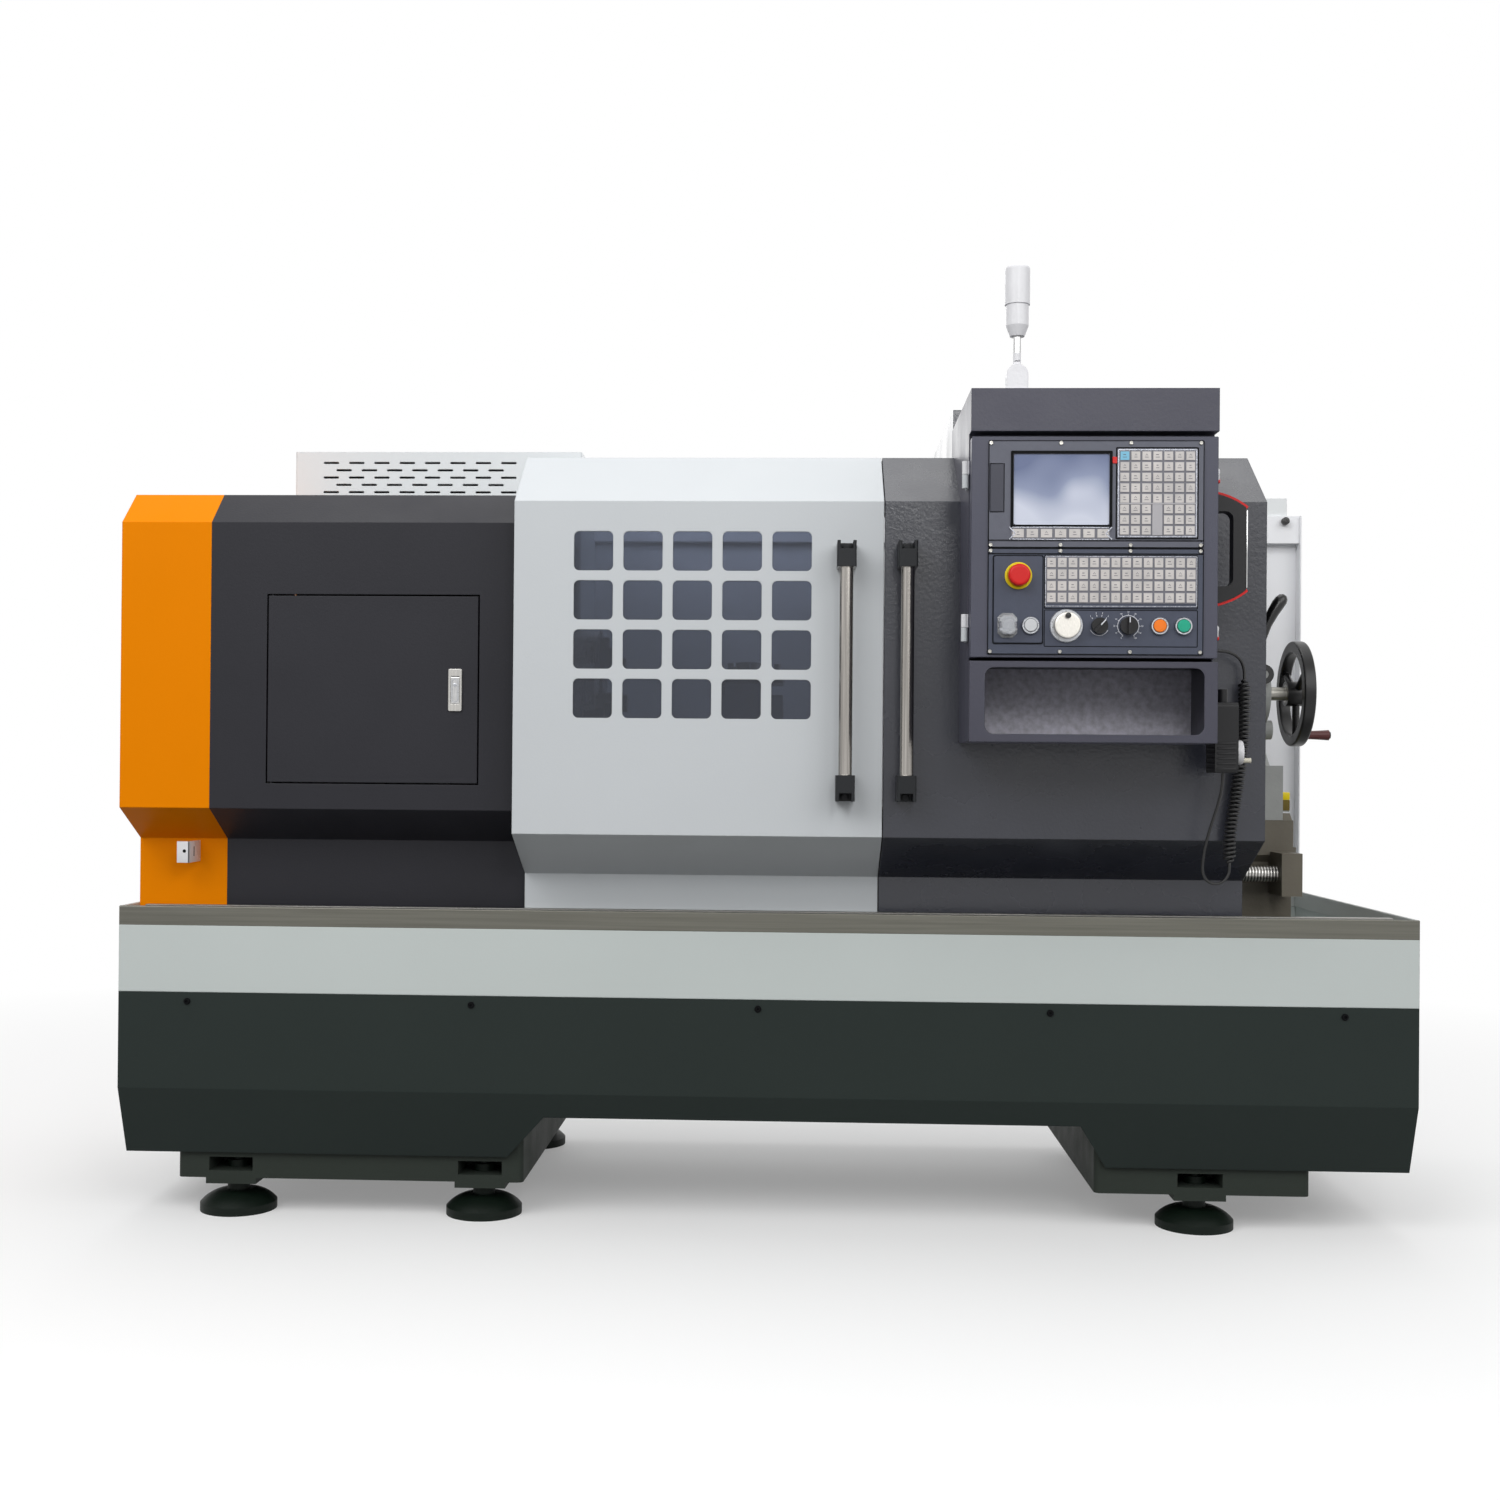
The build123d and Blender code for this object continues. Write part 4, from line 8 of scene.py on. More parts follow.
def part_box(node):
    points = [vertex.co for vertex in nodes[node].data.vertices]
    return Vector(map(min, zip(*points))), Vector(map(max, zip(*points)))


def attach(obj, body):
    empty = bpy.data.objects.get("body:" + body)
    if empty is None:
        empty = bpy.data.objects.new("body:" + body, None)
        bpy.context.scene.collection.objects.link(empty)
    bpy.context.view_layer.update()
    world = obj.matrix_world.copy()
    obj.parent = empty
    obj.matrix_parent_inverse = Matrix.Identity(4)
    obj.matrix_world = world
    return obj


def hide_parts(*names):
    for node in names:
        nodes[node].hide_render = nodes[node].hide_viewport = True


# A flat-bed turning lathe with sliding guards: looks, the curly cord and small pieces on the CAD frame.
# Places on the object are in millimetres; the cord, the camera, the floor and the lamps are in metres.

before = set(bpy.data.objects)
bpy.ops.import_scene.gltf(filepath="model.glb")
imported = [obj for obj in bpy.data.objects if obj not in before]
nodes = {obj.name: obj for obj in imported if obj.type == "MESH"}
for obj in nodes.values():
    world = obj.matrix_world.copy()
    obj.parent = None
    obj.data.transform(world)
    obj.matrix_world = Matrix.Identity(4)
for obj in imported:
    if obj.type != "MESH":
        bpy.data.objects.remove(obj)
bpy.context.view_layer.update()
scene = bpy.context.scene

MM = 0.001


def span(node, axis):
    """A CAD node's lowest and highest place along an axis, to a thousandth of a millimetre."""
    low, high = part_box(node)
    index = "XYZ".index(axis)
    return round(low[index] / MM, 3), round(high[index] / MM, 3)


def middle(node, axis):
    """The middle of a CAD node along an axis, in millimetres."""
    return sum(span(node, axis)) / 2


def around(limits, margin):
    """Limits moved outwards by a margin, or inwards where it is negative."""
    return limits[0] - margin, limits[1] + margin


def about(place, half):
    """Limits at both sides of a place."""
    return place - half, place + half


# Places that looks and pieces share

PANEL_FACE = span("control_cabinet", "Y")[0]
PANEL_BACK = PANEL_FACE + 3.0
KEY_TOP, PLATE = span("key_pads", "Y")
SUB_PLATE = PLATE - 1.5
CABINET_X = (span("control_cabinet", "X")[0], span("side_grip", "X")[0])
CABINET_SIDE = CABINET_X[1]
CAP_TOP = 1557.0
BIN_TOP = 1081.0
PLATE_X = (400.0, 771.0)
UNIT_Z = (1278.5, 1464.5)
OPERATOR_Z = (1093.0, 1277.0)
BUTTON_ROW = middle("green_button", "Z")
COVER_FACE = span("headstock_cover", "Y")[0]
LATCH_X = span("access_latch", "X")
LATCH_Z = span("access_latch", "Z")
LAMP_TOP = span("lamp_body", "Z")[1]

# Key pads as (left, width, bottom, height, columns, rows)
UNIT_PAD = (625.0, 132.0, 1299.5, 148.0, 7, 8)
SOFT_PAD = (439.0, 171.0, 1294.0, 18.5, 7, 1)
OPERATOR_PAD = (500.0, 259.0, 1181.5, 81.0, 14, 4)

# Colours and shader nodes


def shade(colour, factor=1.0):
    """A display colour, 0 to 255, as a shader's linear colour, times a factor."""
    linear = []
    for value in colour:
        share = value / 255
        light = share / 12.92 if share <= 0.04045 else ((share + 0.055) / 1.055) ** 2.4
        linear.append(min(1.0, light * factor))
    return (*linear, 1.0)


def material(name):
    """A new node material and its tree."""
    made = bpy.data.materials.new(name)
    made.use_nodes = True
    return made, made.node_tree


def fill(tree, made, inputs):
    """Gives a node's inputs constants or other nodes' sockets."""
    for key, value in inputs.items():
        if isinstance(value, bpy.types.NodeSocket):
            tree.links.new(value, made.inputs[key])
        else:
            made.inputs[key].default_value = value


def node(tree, kind, inputs, **settings):
    """A new shader node with its settings and its inputs."""
    made = tree.nodes.new("ShaderNode" + kind)
    for name, value in settings.items():
        setattr(made, name, value)
    fill(tree, made, inputs)
    return made


def own_place(tree):
    """A place in the piece's own frame, in metres."""
    return node(tree, "TexCoord", {}).outputs["Object"]


def own_axes(tree):
    """A place in the piece's own frame, as X, Y and Z."""
    return node(tree, "SeparateXYZ", {"Vector": own_place(tree)}).outputs


def maths(tree, operation, *values):
    """A sum or a test of values, each a socket or a number."""
    return node(tree, "Math", dict(enumerate(values)), operation=operation).outputs["Value"]


def noise(tree, scale, detail=3.0, stretch=(1.0, 1.0, 1.0)):
    """Noise in the piece's own frame, stretched along its axes."""
    place = node(tree, "Mapping", {"Vector": own_place(tree), "Scale": stretch}).outputs["Vector"]
    return node(tree, "TexNoise", {"Vector": place, "Scale": scale, "Detail": detail}).outputs["Fac"]


def spread(tree, value, low, high, start=0.3, end=0.7):
    """A value between start and end brought into the range from low to high."""
    limits = {"From Min": start, "From Max": end, "To Min": low, "To Max": high}
    return node(tree, "MapRange", {"Value": value, **limits}).outputs["Result"]


def ramp(tree, value, stops):
    """A colour ramp over a value: (place, colour) stops."""
    made = node(tree, "ValToRGB", {"Fac": value})
    elements = made.color_ramp.elements
    while len(elements) < len(stops):
        elements.new(0.5)
    for element, (place, colour) in zip(elements, stops):
        element.position = place
        element.color = colour
    return made.outputs["Color"]


def cloudy(tree, value, colour, darker, lighter, start=0.3, end=0.7):
    """A display colour that noise makes darker and lighter."""
    return ramp(tree, value, [(start, shade(colour, darker)), (end, shade(colour, lighter))])


def mixed(tree, factor, first, second, kind="RGBA"):
    """Two colours, or two values where the kind is VALUE, mixed by a factor."""
    made = node(tree, "Mix", {"Factor": factor}, data_type="RGBA" if kind == "RGBA" else "FLOAT")
    ends = [i for i, socket in enumerate(made.inputs) if socket.name in ("A", "B") and socket.type == kind]
    fill(tree, made, dict(zip(ends, (first, second))))
    return [socket for socket in made.outputs if socket.type == kind][0]


def bump(tree, height, strength, distance, **normal):
    """The normal of a bump from a height, over the face's own normal or a given one."""
    inputs = {"Height": height, "Strength": strength, "Distance": distance, **normal}
    return node(tree, "Bump", inputs).outputs["Normal"]


# Kinds of finish; each takes a display colour and a roughness

EDGE_RADIUS = 0.0025


def finish(made, base, roughness, normal, shine=0.5, metal=0.0, **more):
    """The material, with its principled shader's inputs given."""
    tree = made.node_tree
    fill(tree, tree.nodes["Principled BSDF"], {"Base Color": base, "Roughness": roughness, "Normal": normal,
                                               "Specular IOR Level": shine, "Metallic": metal, **more})
    return made


def paint(name, colour, roughness, peel=0.2, peel_scale=300.0, shine=0.25, vary=0.05, patches=()):
    """Sprayed paint: slow clouding, orange peel and an uneven gloss; patches have a look of their own."""
    made, tree = material(name)
    base = cloudy(tree, noise(tree, scale=2.2, detail=5.0), colour, 1 - vary, 1 + vary, 0.25, 0.75)
    gloss = spread(tree, noise(tree, scale=9.0, detail=4.0), roughness - 0.05, roughness + 0.06)
    metal = 0.0
    for mask_of, patch_colour, patch_metal, patch_roughness, streak, stretch in patches:
        mask = mask_of(tree)
        grain = noise(tree, scale=80.0, detail=5.0, stretch=stretch)
        base = mixed(tree, mask, base, cloudy(tree, grain, patch_colour, 1 - streak, 1 + streak))
        gloss = mixed(tree, mask, gloss, patch_roughness, "VALUE")
        metal = mixed(tree, mask, metal, patch_metal, "VALUE")
    bends = node(tree, "Bevel", {"Radius": EDGE_RADIUS}, samples=4).outputs["Normal"]
    peeled = bump(tree, noise(tree, scale=peel_scale, detail=2.0), peel, 0.0006, Normal=bends)
    return finish(made, base, gloss, peeled, shine, metal)


def steel(name, colour, roughness, stretch, grain=0.25, stain=0.0):
    """Ground or drawn steel: grain along one axis, with soft stains."""
    made, tree = material(name)
    lines = noise(tree, scale=60.0, detail=6.0, stretch=stretch)
    base = cloudy(tree, lines, colour, 0.86, 1.1)
    if stain:
        spots = spread(tree, noise(tree, scale=7.0, detail=6.0), 0.0, stain, 0.5, 0.72)
        base = mixed(tree, spots, base, shade((118, 98, 78)))
    gloss = spread(tree, lines, roughness - 0.06, roughness + 0.1)
    return finish(made, base, gloss, bump(tree, lines, grain, 0.0002), metal=1.0)


def casting(name, colour, roughness, shine=0.3):
    """Machined and painted iron with a coarse skin."""
    made, tree = material(name)
    cloud = noise(tree, scale=14.0, detail=8.0)
    gloss = spread(tree, cloud, roughness - 0.05, roughness + 0.1)
    coarse = bump(tree, noise(tree, scale=120.0, detail=5.0), 0.4, 0.0012)
    return finish(made, cloudy(tree, cloud, colour, 0.88, 1.06), gloss, coarse, shine)


def plastic(name, colour, roughness, grain=0.05, grain_scale=600.0, shine=0.4, vary=0.05):
    """Moulded plastic with a fine spark-eroded grain."""
    made, tree = material(name)
    cloud = noise(tree, scale=20.0, detail=3.0)
    gloss = spread(tree, cloud, roughness - 0.04, roughness + 0.05)
    fine = bump(tree, noise(tree, scale=grain_scale, detail=2.0), grain, 0.0002)
    return finish(made, cloudy(tree, cloud, colour, 1 - vary, 1 + vary), gloss, fine, shine)


def clear(name, colour, roughness, transmission, wrinkle, wrinkle_scale):
    """Tinted see-through sheet with a faint waviness."""
    made, tree = material(name)
    tint = cloudy(tree, noise(tree, scale=4.0, detail=3.0), colour, 0.92, 1.08)
    wavy = bump(tree, noise(tree, scale=wrinkle_scale, detail=4.0), wrinkle, 0.001)
    glassy = {"Transmission Weight": transmission, "IOR": 1.45}
    return finish(made, tint, roughness, wavy, **glassy)


# Patches of another look on a painted node

ALONG_X = (0.05, 3.0, 3.0)
ALONG_Z = (3.0, 3.0, 0.05)
EVEN = (1.0, 1.0, 1.0)
WHITE_ENAMEL = (222, 222, 225)
HUB_RADIUS = 20.0


def within(tree, **limits):
    """1 inside the given limits along X, Y or Z in millimetres, and 0 outside them."""
    axes = own_axes(tree)
    inside = 1.0
    for axis, (low, high) in limits.items():
        near = maths(tree, "COMPARE", axes[axis], (low + high) / 2 * MM, (high - low) / 2 * MM)
        inside = maths(tree, "MULTIPLY", near, inside)
    return inside


def hub_mask(tree):
    """1 within the turned hub of the tailstock's handwheel, whose axis runs along X."""
    axis = (0.0, middle("handwheel", "Y") * MM, middle("handwheel", "Z") * MM)
    flat = node(tree, "VectorMath", {0: own_place(tree), 1: (0.0, 1.0, 1.0)}, operation="MULTIPLY")
    away = node(tree, "VectorMath", {0: flat.outputs["Vector"], 1: axis}, operation="DISTANCE")
    return maths(tree, "LESS_THAN", away.outputs["Value"], HUB_RADIUS * MM)


def patch(colour, metal, roughness, streak, stretch=EVEN, **limits):
    """A patch of another look inside limits along X, Y or Z in millimetres."""
    return (lambda tree: within(tree, **limits)), colour, metal, roughness, streak, stretch


plate_x = around(PLATE_X, 0.1)
plate_y = (PANEL_FACE - 18.0, PANEL_FACE - 0.3)
rim_face = span("tray_rim", "Y")[0]
# Painted light: the inside of the cabinet's bin is paler than its paint, standing in for the light that gets
# into it.
bin_painted_light = patch((200, 198, 210), 0.0, 0.4, 0.25, X=around(CABINET_X, -3.2), Y=(PANEL_FACE + 3.2, -300.0),
                   Z=(span("control_cabinet", "Z")[0] + 3.2, BIN_TOP - 3.2))
lamp_foot = patch(WHITE_ENAMEL, 0.0, 0.3, 0.02, Z=(CAP_TOP + 0.2, CAP_TOP + 103.0))
unit_plate = patch((90, 92, 103), 0.0, 0.42, 0.04, X=plate_x, Y=plate_y, Z=around(UNIT_Z, 0.5))
operator_plate = patch((66, 71, 86), 0.0, 0.42, 0.04, X=plate_x, Y=plate_y, Z=around(OPERATOR_Z, 0.5))
hinge_half = patch(WHITE_ENAMEL, 0.0, 0.35, 0.02, X=(CABINET_X[0] - 29.0, CABINET_X[0] - 0.2))
latch_plate = patch((188, 186, 182), 1.0, 0.22, 0.08, ALONG_Z, X=around(LATCH_X, 5.1),
                    Y=(COVER_FACE - 7.0, COVER_FACE - 0.05), Z=around(LATCH_Z, 14.7))
rim_front = patch((104, 103, 96), 1.0, 0.36, 0.12, ALONG_X, Y=(rim_face - 18.0, rim_face + 2.5))
handle_tube = patch((158, 154, 149), 1.0, 0.2, 0.3, ALONG_Z, Z=around(span("left_handle", "Z"), -48.0))
lamp_stem = patch((190, 190, 190), 1.0, 0.18, 0.1, ALONG_Z, Z=(LAMP_TOP - 87.0, LAMP_TOP - 57.0))
rail_steel = patch((150, 148, 144), 1.0, 0.38, 0.14, ALONG_X, Y=(-300.0, 450.0))
wheel_hub = (hub_mask, (150, 148, 142), 1.0, 0.35, 0.1, EVEN)

# Looks of nodes and pieces


def screen_look():
    """A glassy display with a painted reflection: blue grey above and paler below, with soft painted
    blotches.
    """
    made, tree = material("screen_glass")
    bottom, top = around(span("screen", "Z"), 0.5)
    height = spread(tree, own_axes(tree)["Z"], 1.0, 0.0, bottom * MM, top * MM)
    painted_reflection_blotches = spread(tree, noise(tree, scale=9.0, detail=1.0), -0.35, 0.35)
    # Painted reflection: the colour runs from blue grey at the top to pale at the bottom.
    stops = [(0.1, shade((102, 113, 146))), (0.55, shade((140, 150, 178))), (0.95, shade((206, 211, 226)))]
    base = ramp(tree, maths(tree, "ADD", height, painted_reflection_blotches), stops)
    return finish(made, base, 0.08, bump(tree, noise(tree, scale=30.0, detail=3.0), 0.12, 0.001))


def keys_look():
    """Pale keys on a grey base, the first key blue."""
    made, tree = material("key_plastic")
    cloud = noise(tree, scale=30.0, detail=4.0)
    keys = ramp(tree, cloud, [(0.3, shade((188, 184, 182))), (0.7, shade((206, 201, 198)))])
    tops = (KEY_TOP - 33.3, KEY_TOP + 0.7)
    base = mixed(tree, within(tree, Y=tops), shade((112, 112, 120)), keys)
    left, width, bottom, height, columns, rows = UNIT_PAD
    top = bottom + height
    first = within(tree, X=(left, left + width / columns), Y=tops, Z=(top - height / rows, top))
    base = mixed(tree, first, base, shade((120, 184, 212)))
    fine = bump(tree, noise(tree, scale=700.0, detail=2.0), 0.08, 0.0002)
    return finish(made, base, 0.35, fine, shine=0.35)


def thread_look():
    """Steel with fine rings along X: their dark bands are painted shade in the thread's grooves and their
    bright bands painted light on its crests.
    """
    made, tree = material("thread_steel")
    rings = node(tree, "TexWave", {"Vector": own_place(tree), "Scale": 52.0}).outputs["Fac"]
    # Painted shade and painted light: dark bands for the grooves, bright bands for the crests.
    base = ramp(tree, rings, [(0.2, shade((96, 95, 92))), (0.8, shade((190, 188, 184)))])
    return finish(made, base, 0.3, bump(tree, rings, 0.6, 0.001), metal=1.0)


cover_coat = dict(peel=0.3, peel_scale=240.0, shine=0.18, vary=0.08)
panel_coat = dict(peel=0.3, peel_scale=420.0, vary=0.05)
pale_coat = dict(peel=0.18, shine=0.2)
printed = dict(grain=0.02, shine=0.2)

looks = {
    "charcoal": paint("charcoal_paint", (42, 42, 47), 0.42, **cover_coat),
    "access": paint("access_paint", (43, 43, 48), 0.4, patches=[latch_plate], **cover_coat),
    "hood": paint("hood_paint", (46, 48, 57), 0.27, peel=0.6, peel_scale=150.0, shine=0.6, vary=0.12),
    # The cabinet's paint carries the bin's painted light as a patch.
    "box": paint("cabinet_paint", (63, 63, 75), 0.38, peel=0.5, peel_scale=190.0, shine=0.35, vary=0.06,
                 patches=[bin_painted_light, lamp_foot]),
    "orange": paint("orange_paint", (235, 133, 0), 0.4, peel=0.18, peel_scale=280.0, shine=0.04, vary=0.03),
    "white": paint("white_paint", (198, 202, 205), 0.4, vary=0.02),
    "base": paint("base_paint", (197, 204, 202), 0.42, vary=0.025, **pale_coat),
    "cabinet": paint("rear_cabinet_paint", (224, 228, 230), 0.45, vary=0.02, **pale_coat),
    "guard": paint("back_guard_paint", (240, 241, 244), 0.45, vary=0.015, **pale_coat),
    "rail": paint("rail_paint", (226, 229, 230), 0.42, vary=0.02, patches=[rail_steel], **pale_coat),
    "rim": paint("rim_paint", (190, 194, 192), 0.4, peel=0.15, shine=0.2, vary=0.03, patches=[rim_front]),
    "skirt": paint("skirt_paint", (43, 50, 48), 0.5, peel=0.25, peel_scale=240.0, shine=0.1, vary=0.06),
    "panel": paint("panel_paint", (73, 74, 87), 0.42, shine=0.3,
                   patches=[unit_plate, operator_plate, hinge_half], **panel_coat),
    "flap": paint("flap_paint", (72, 73, 82), 0.45, shine=0.2, **panel_coat),
    "handle": paint("handle_paint", (26, 28, 31), 0.45, peel_scale=500.0, vary=0.1, patches=[handle_tube]),
    "lamp": paint("lamp_paint", WHITE_ENAMEL, 0.3, peel=0.05, peel_scale=500.0, shine=0.35, vary=0.02,
                  patches=[lamp_stem]),
    "wheel": paint("wheel_enamel", (13, 13, 14), 0.3, peel=0.1, shine=0.4, vary=0.1, patches=[wheel_hub]),
    "motor": paint("motor_paint", (96, 100, 104), 0.45, peel=0.3, peel_scale=200.0),
    "leg": casting("leg_iron", (42, 48, 43), 0.6, shine=0.2),
    "foot": casting("foot_iron", (7, 18, 11), 0.5, shine=0.2),
    "iron": casting("grey_casting", (158, 160, 158), 0.5),
    "end_iron": casting("machined_iron", (104, 99, 88), 0.45),
    "turned": steel("turned_steel", (170, 168, 164), 0.28, (14.0, 2.0, 2.0), grain=0.2, stain=0.12),
    "ground": steel("ground_steel", (150, 146, 139), 0.36, (3.0, 12.0, 3.0), stain=0.25),
    "bright": steel("bright_steel", (196, 196, 196), 0.16, (10.0, 10.0, 1.0), grain=0.05),
    "screw": steel("screw_steel", (176, 174, 168), 0.28, (8.0, 8.0, 8.0), grain=0.1),
    "aluminium": steel("satin_aluminium", (206, 203, 196), 0.34, (20.0, 3.0, 3.0), grain=0.15),
    "bezel": steel("bezel_metal", (168, 170, 174), 0.3, (4.0, 4.0, 4.0), grain=0.05),
    "trim": steel("trim_metal", (150, 152, 160), 0.25, (4.0, 4.0, 4.0), grain=0.05),
    "thread": thread_look(),
    "rubber": plastic("black_rubber", (14, 14, 15), 0.4, grain=0.2, grain_scale=500.0, shine=0.45),
    "black": plastic("black_plastic", (20, 20, 22), 0.45, grain=0.2, grain_scale=700.0, shine=0.3),
    "gloss_black": plastic("gloss_black", (11, 11, 12), 0.25, grain=0.05, grain_scale=400.0, shine=0.5),
    "brown": plastic("brown_plastic", (84, 34, 34), 0.32, grain=0.1, grain_scale=400.0),
    "white_plastic": plastic("white_plastic", WHITE_ENAMEL, 0.3),
    "cream": plastic("cream_plastic", (206, 202, 186), 0.35),
    "red": plastic("red_plastic", (204, 22, 20), 0.35, shine=0.3),
    "yellow": plastic("yellow_plastic", (226, 202, 10), 0.35, shine=0.3),
    # Painted shade: the darker yellow of the way wiper's side.
    "shaded_yellow": plastic("painted_shade_yellow", (112, 98, 52), 0.8, grain=0.5, grain_scale=300.0, shine=0.1),
    "orange_cap": plastic("orange_cap", (240, 122, 20), 0.28),
    "green_cap": plastic("green_cap", (20, 160, 128), 0.28),
    "pale_cap": plastic("pale_cap", (200, 202, 204), 0.28),
    "groove": plastic("groove_black", (10, 11, 13), 0.6, shine=0.08),
    "key_blank": plastic("key_blank", (168, 166, 170), 0.4),
    "board": plastic("circuit_board", (24, 74, 56), 0.4, grain=0.1, grain_scale=300.0, shine=0.3),
    "ink": plastic("printed_ink", (96, 96, 104), 0.5, **printed),
    "white_ink": plastic("white_ink", (214, 216, 222), 0.5, **printed),
    "keys": keys_look(),
    "screen": screen_look(),
    "smoked": clear("smoked_window", (112, 121, 142), 0.04, 0.92, wrinkle=0.1, wrinkle_scale=12.0),
    "film": clear("clear_guard", (236, 238, 242), 0.12, 0.75, wrinkle=0.15, wrinkle_scale=60.0),
}

dressed = {
    "hood": "right_hood",
    "charcoal": "headstock_cover",
    "access": "access_door",
    "box": "control_cabinet",
    "orange": "end_cover",
    "white": "left_door panel_hinges",
    "base": "chip_tray",
    "cabinet": "rear_cabinet",
    "guard": "back_guard",
    "skirt": "base_skirt",
    "leg": "left_leg right_leg",
    "foot": "levelling_feet",
    "iron": "headstock saddle cross_slide tailstock",
    "end_iron": "bed",
    "rim": "tray_rim",
    "rail": "door_rails",
    "turned": "spindle chuck_body motor_pulley",
    "thread": "z_screw",
    "ground": "chuck_jaw_1 chuck_jaw_2 chuck_jaw_3 tool_turret",
    "bright": "quill access_latch",
    "aluminium": "mpg_wheel",
    "motor": "main_motor",
    "rubber": "drive_belt",
    "black": "z_servo side_grip pendant_body mode_knob override_knob",
    "flap": "socket_flap",
    "gloss_black": "quill_lever",
    "brown": "crank_grip",
    "white_plastic": "lamp_lens pendant_dial",
    "panel": "panel_door",
    "red": "estop_button",
    "orange_cap": "orange_button",
    "green_cap": "green_button",
    "pale_cap": "grey_button guarded_button",
    "smoked": "door_glazing",
    "keys": "key_pads",
    "screen": "screen",
    "handle": "left_handle right_handle",
    "lamp": "lamp_body",
    "wheel": "handwheel",
}
for look, names in dressed.items():
    for name in names.split():
        nodes[name].data.materials.clear()
        nodes[name].data.materials.append(looks[look])

# Curly cord of the pendant: the route's points in millimetres, as in the part's source

lead_route = [(812, -424, 1112), (836, -424, 1112), (860, -419, 1109), (878, -413, 1098), (886, -410, 1080)]
coil_route = [(886, -410, 1060), (886, -410, 1004), (884, -411, 946), (878, -410, 890), (870, -411, 832),
              (861, -410, 776), (861, -410, 722)]
tail_route = [(861, -410, 702), (846, -412, 686), (825, -415, 686), (811, -419, 701), (809, -424, 724),
              (812, -436, 760), (820, -452, 800), (828, -470, 838), (830, -487, 868), (830, -487, 889)]
CORD_DIAMETER = 0.0056
COIL_MEAN_RADIUS = 0.0090
COIL_PITCH = 0.0078
POINTS_PER_TURN = 14
EASE_TURNS = 1.5
COIL_HEIGHTS = (0.722, 1.062)
COIL_LEFT = 0.855
COIL_FRONT = -0.4125


def nurbs(name, points):
    """A curve of one open spline that uses the points as its control points."""
    curve = bpy.data.curves.new(name, "CURVE")
    curve.dimensions = "3D"
    spline = curve.splines.new("NURBS")
    spline.points.add(len(points) - 1)
    for place, point in zip(spline.points, points):
        place.co = (*point, 1.0)
    spline.order_u = 3
    spline.use_endpoint_u = True
    made = bpy.data.objects.new(name, curve)
    scene.collection.objects.link(made)
    return made


def line_points(points, resolution):
    """The points that Blender gives along a curve with no bevel."""
    guide = nurbs("cord_guide", points)
    guide.data.resolution_u = resolution
    mesh = bpy.data.meshes.new_from_object(guide)
    found = [vertex.co.copy() for vertex in mesh.vertices]
    bpy.data.meshes.remove(mesh)
    bpy.data.objects.remove(guide)
    return found


def length_of(points):
    """The length of a line of points."""
    return sum((b - a).length for a, b in zip(points, points[1:]))


def in_coil(point):
    """True on the coil's stretch of the route, which the lead and the tail pass by."""
    return COIL_HEIGHTS[0] <= point.z <= COIL_HEIGHTS[1] and point.x > COIL_LEFT and point.y > COIL_FRONT


def helix(stretch, turns):
    """Points of a helix round a line, growing from the line at both ends."""
    count = turns * POINTS_PER_TURN
    total = length_of(stretch)
    runs = [b - a for a, b in zip(stretch, stretch[1:])]
    points = []
    walked = 0.0
    index = 0
    for step in range(count + 1):
        target = total * step / count
        while index < len(runs) - 1 and walked + runs[index].length < target:
            walked += runs[index].length
            index += 1
        run = runs[index]
        centre = stretch[index] + run * ((target - walked) / run.length)
        along = run.normalized()
        side = Vector((1.0, 0.0, 0.0))
        side = (side - along * side.dot(along)).normalized()
        across = along.cross(side)
        angle = 2 * math.pi * step / POINTS_PER_TURN
        reach = COIL_MEAN_RADIUS * min(1.0, min(step, count - step) / (POINTS_PER_TURN * EASE_TURNS))
        points.append(centre + side * (math.cos(angle) * reach) + across * (math.sin(angle) * reach))
    return points


lead, coil, tail = ([Vector(point) * MM for point in part] for part in (lead_route, coil_route, tail_route))
coil_line = [point for point in line_points(lead + coil + tail, resolution=24) if in_coil(point)]
coil_turns = int(length_of(coil_line) / COIL_PITCH)
cord_points = lead + helix(coil_line, coil_turns) + tail
pendant_cord = nurbs("pendant_cord", cord_points)
pendant_cord.data.resolution_u = 3
pendant_cord.data.bevel_depth = CORD_DIAMETER / 2
pendant_cord.data.bevel_resolution = 2
pendant_cord.data.use_fill_caps = True
pendant_cord.data.materials.append(looks["rubber"])
cord_length = length_of(line_points(cord_points, resolution=12))
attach(pendant_cord, "hood")
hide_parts("cord_lead", "cord_coil", "cord_tail")

# Forms of the small pieces, in millimetres: shapes are added to one form, which piece() then takes

form = bmesh.new()


def piece(name, look, body, sharp=35.0):
    """A piece that rides on a body, from all that was added to the form, which is then new again."""
    global form
    bmesh.ops.scale(form, vec=(MM, MM, MM), verts=form.verts)
    bmesh.ops.recalc_face_normals(form, faces=form.faces)
    mesh = bpy.data.meshes.new(name)
    form.to_mesh(mesh)
    form.free()
    form = bmesh.new()
    mesh.polygons.foreach_set("use_smooth", [True] * len(mesh.polygons))
    mesh.set_sharp_from_angle(angle=math.radians(sharp))
    mesh.materials.append(looks[look])
    made = bpy.data.objects.new(name, mesh)
    scene.collection.objects.link(made)
    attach(made, body)


def skin(loops, wrap=False):
    """A skin over loops of as many points each; its ends are capped, or joined to each other."""
    rows = [[form.verts.new(point) for point in loop] for loop in loops]
    pairs = list(zip(rows, rows[1:]))
    if wrap:
        pairs.append((rows[-1], rows[0]))
    else:
        form.faces.new(rows[0][::-1])
        form.faces.new(rows[-1])
    for low, high in pairs:
        for i in range(len(low)):
            j = (i + 1) % len(low)
            form.faces.new((low[i], low[j], high[j], high[i]))


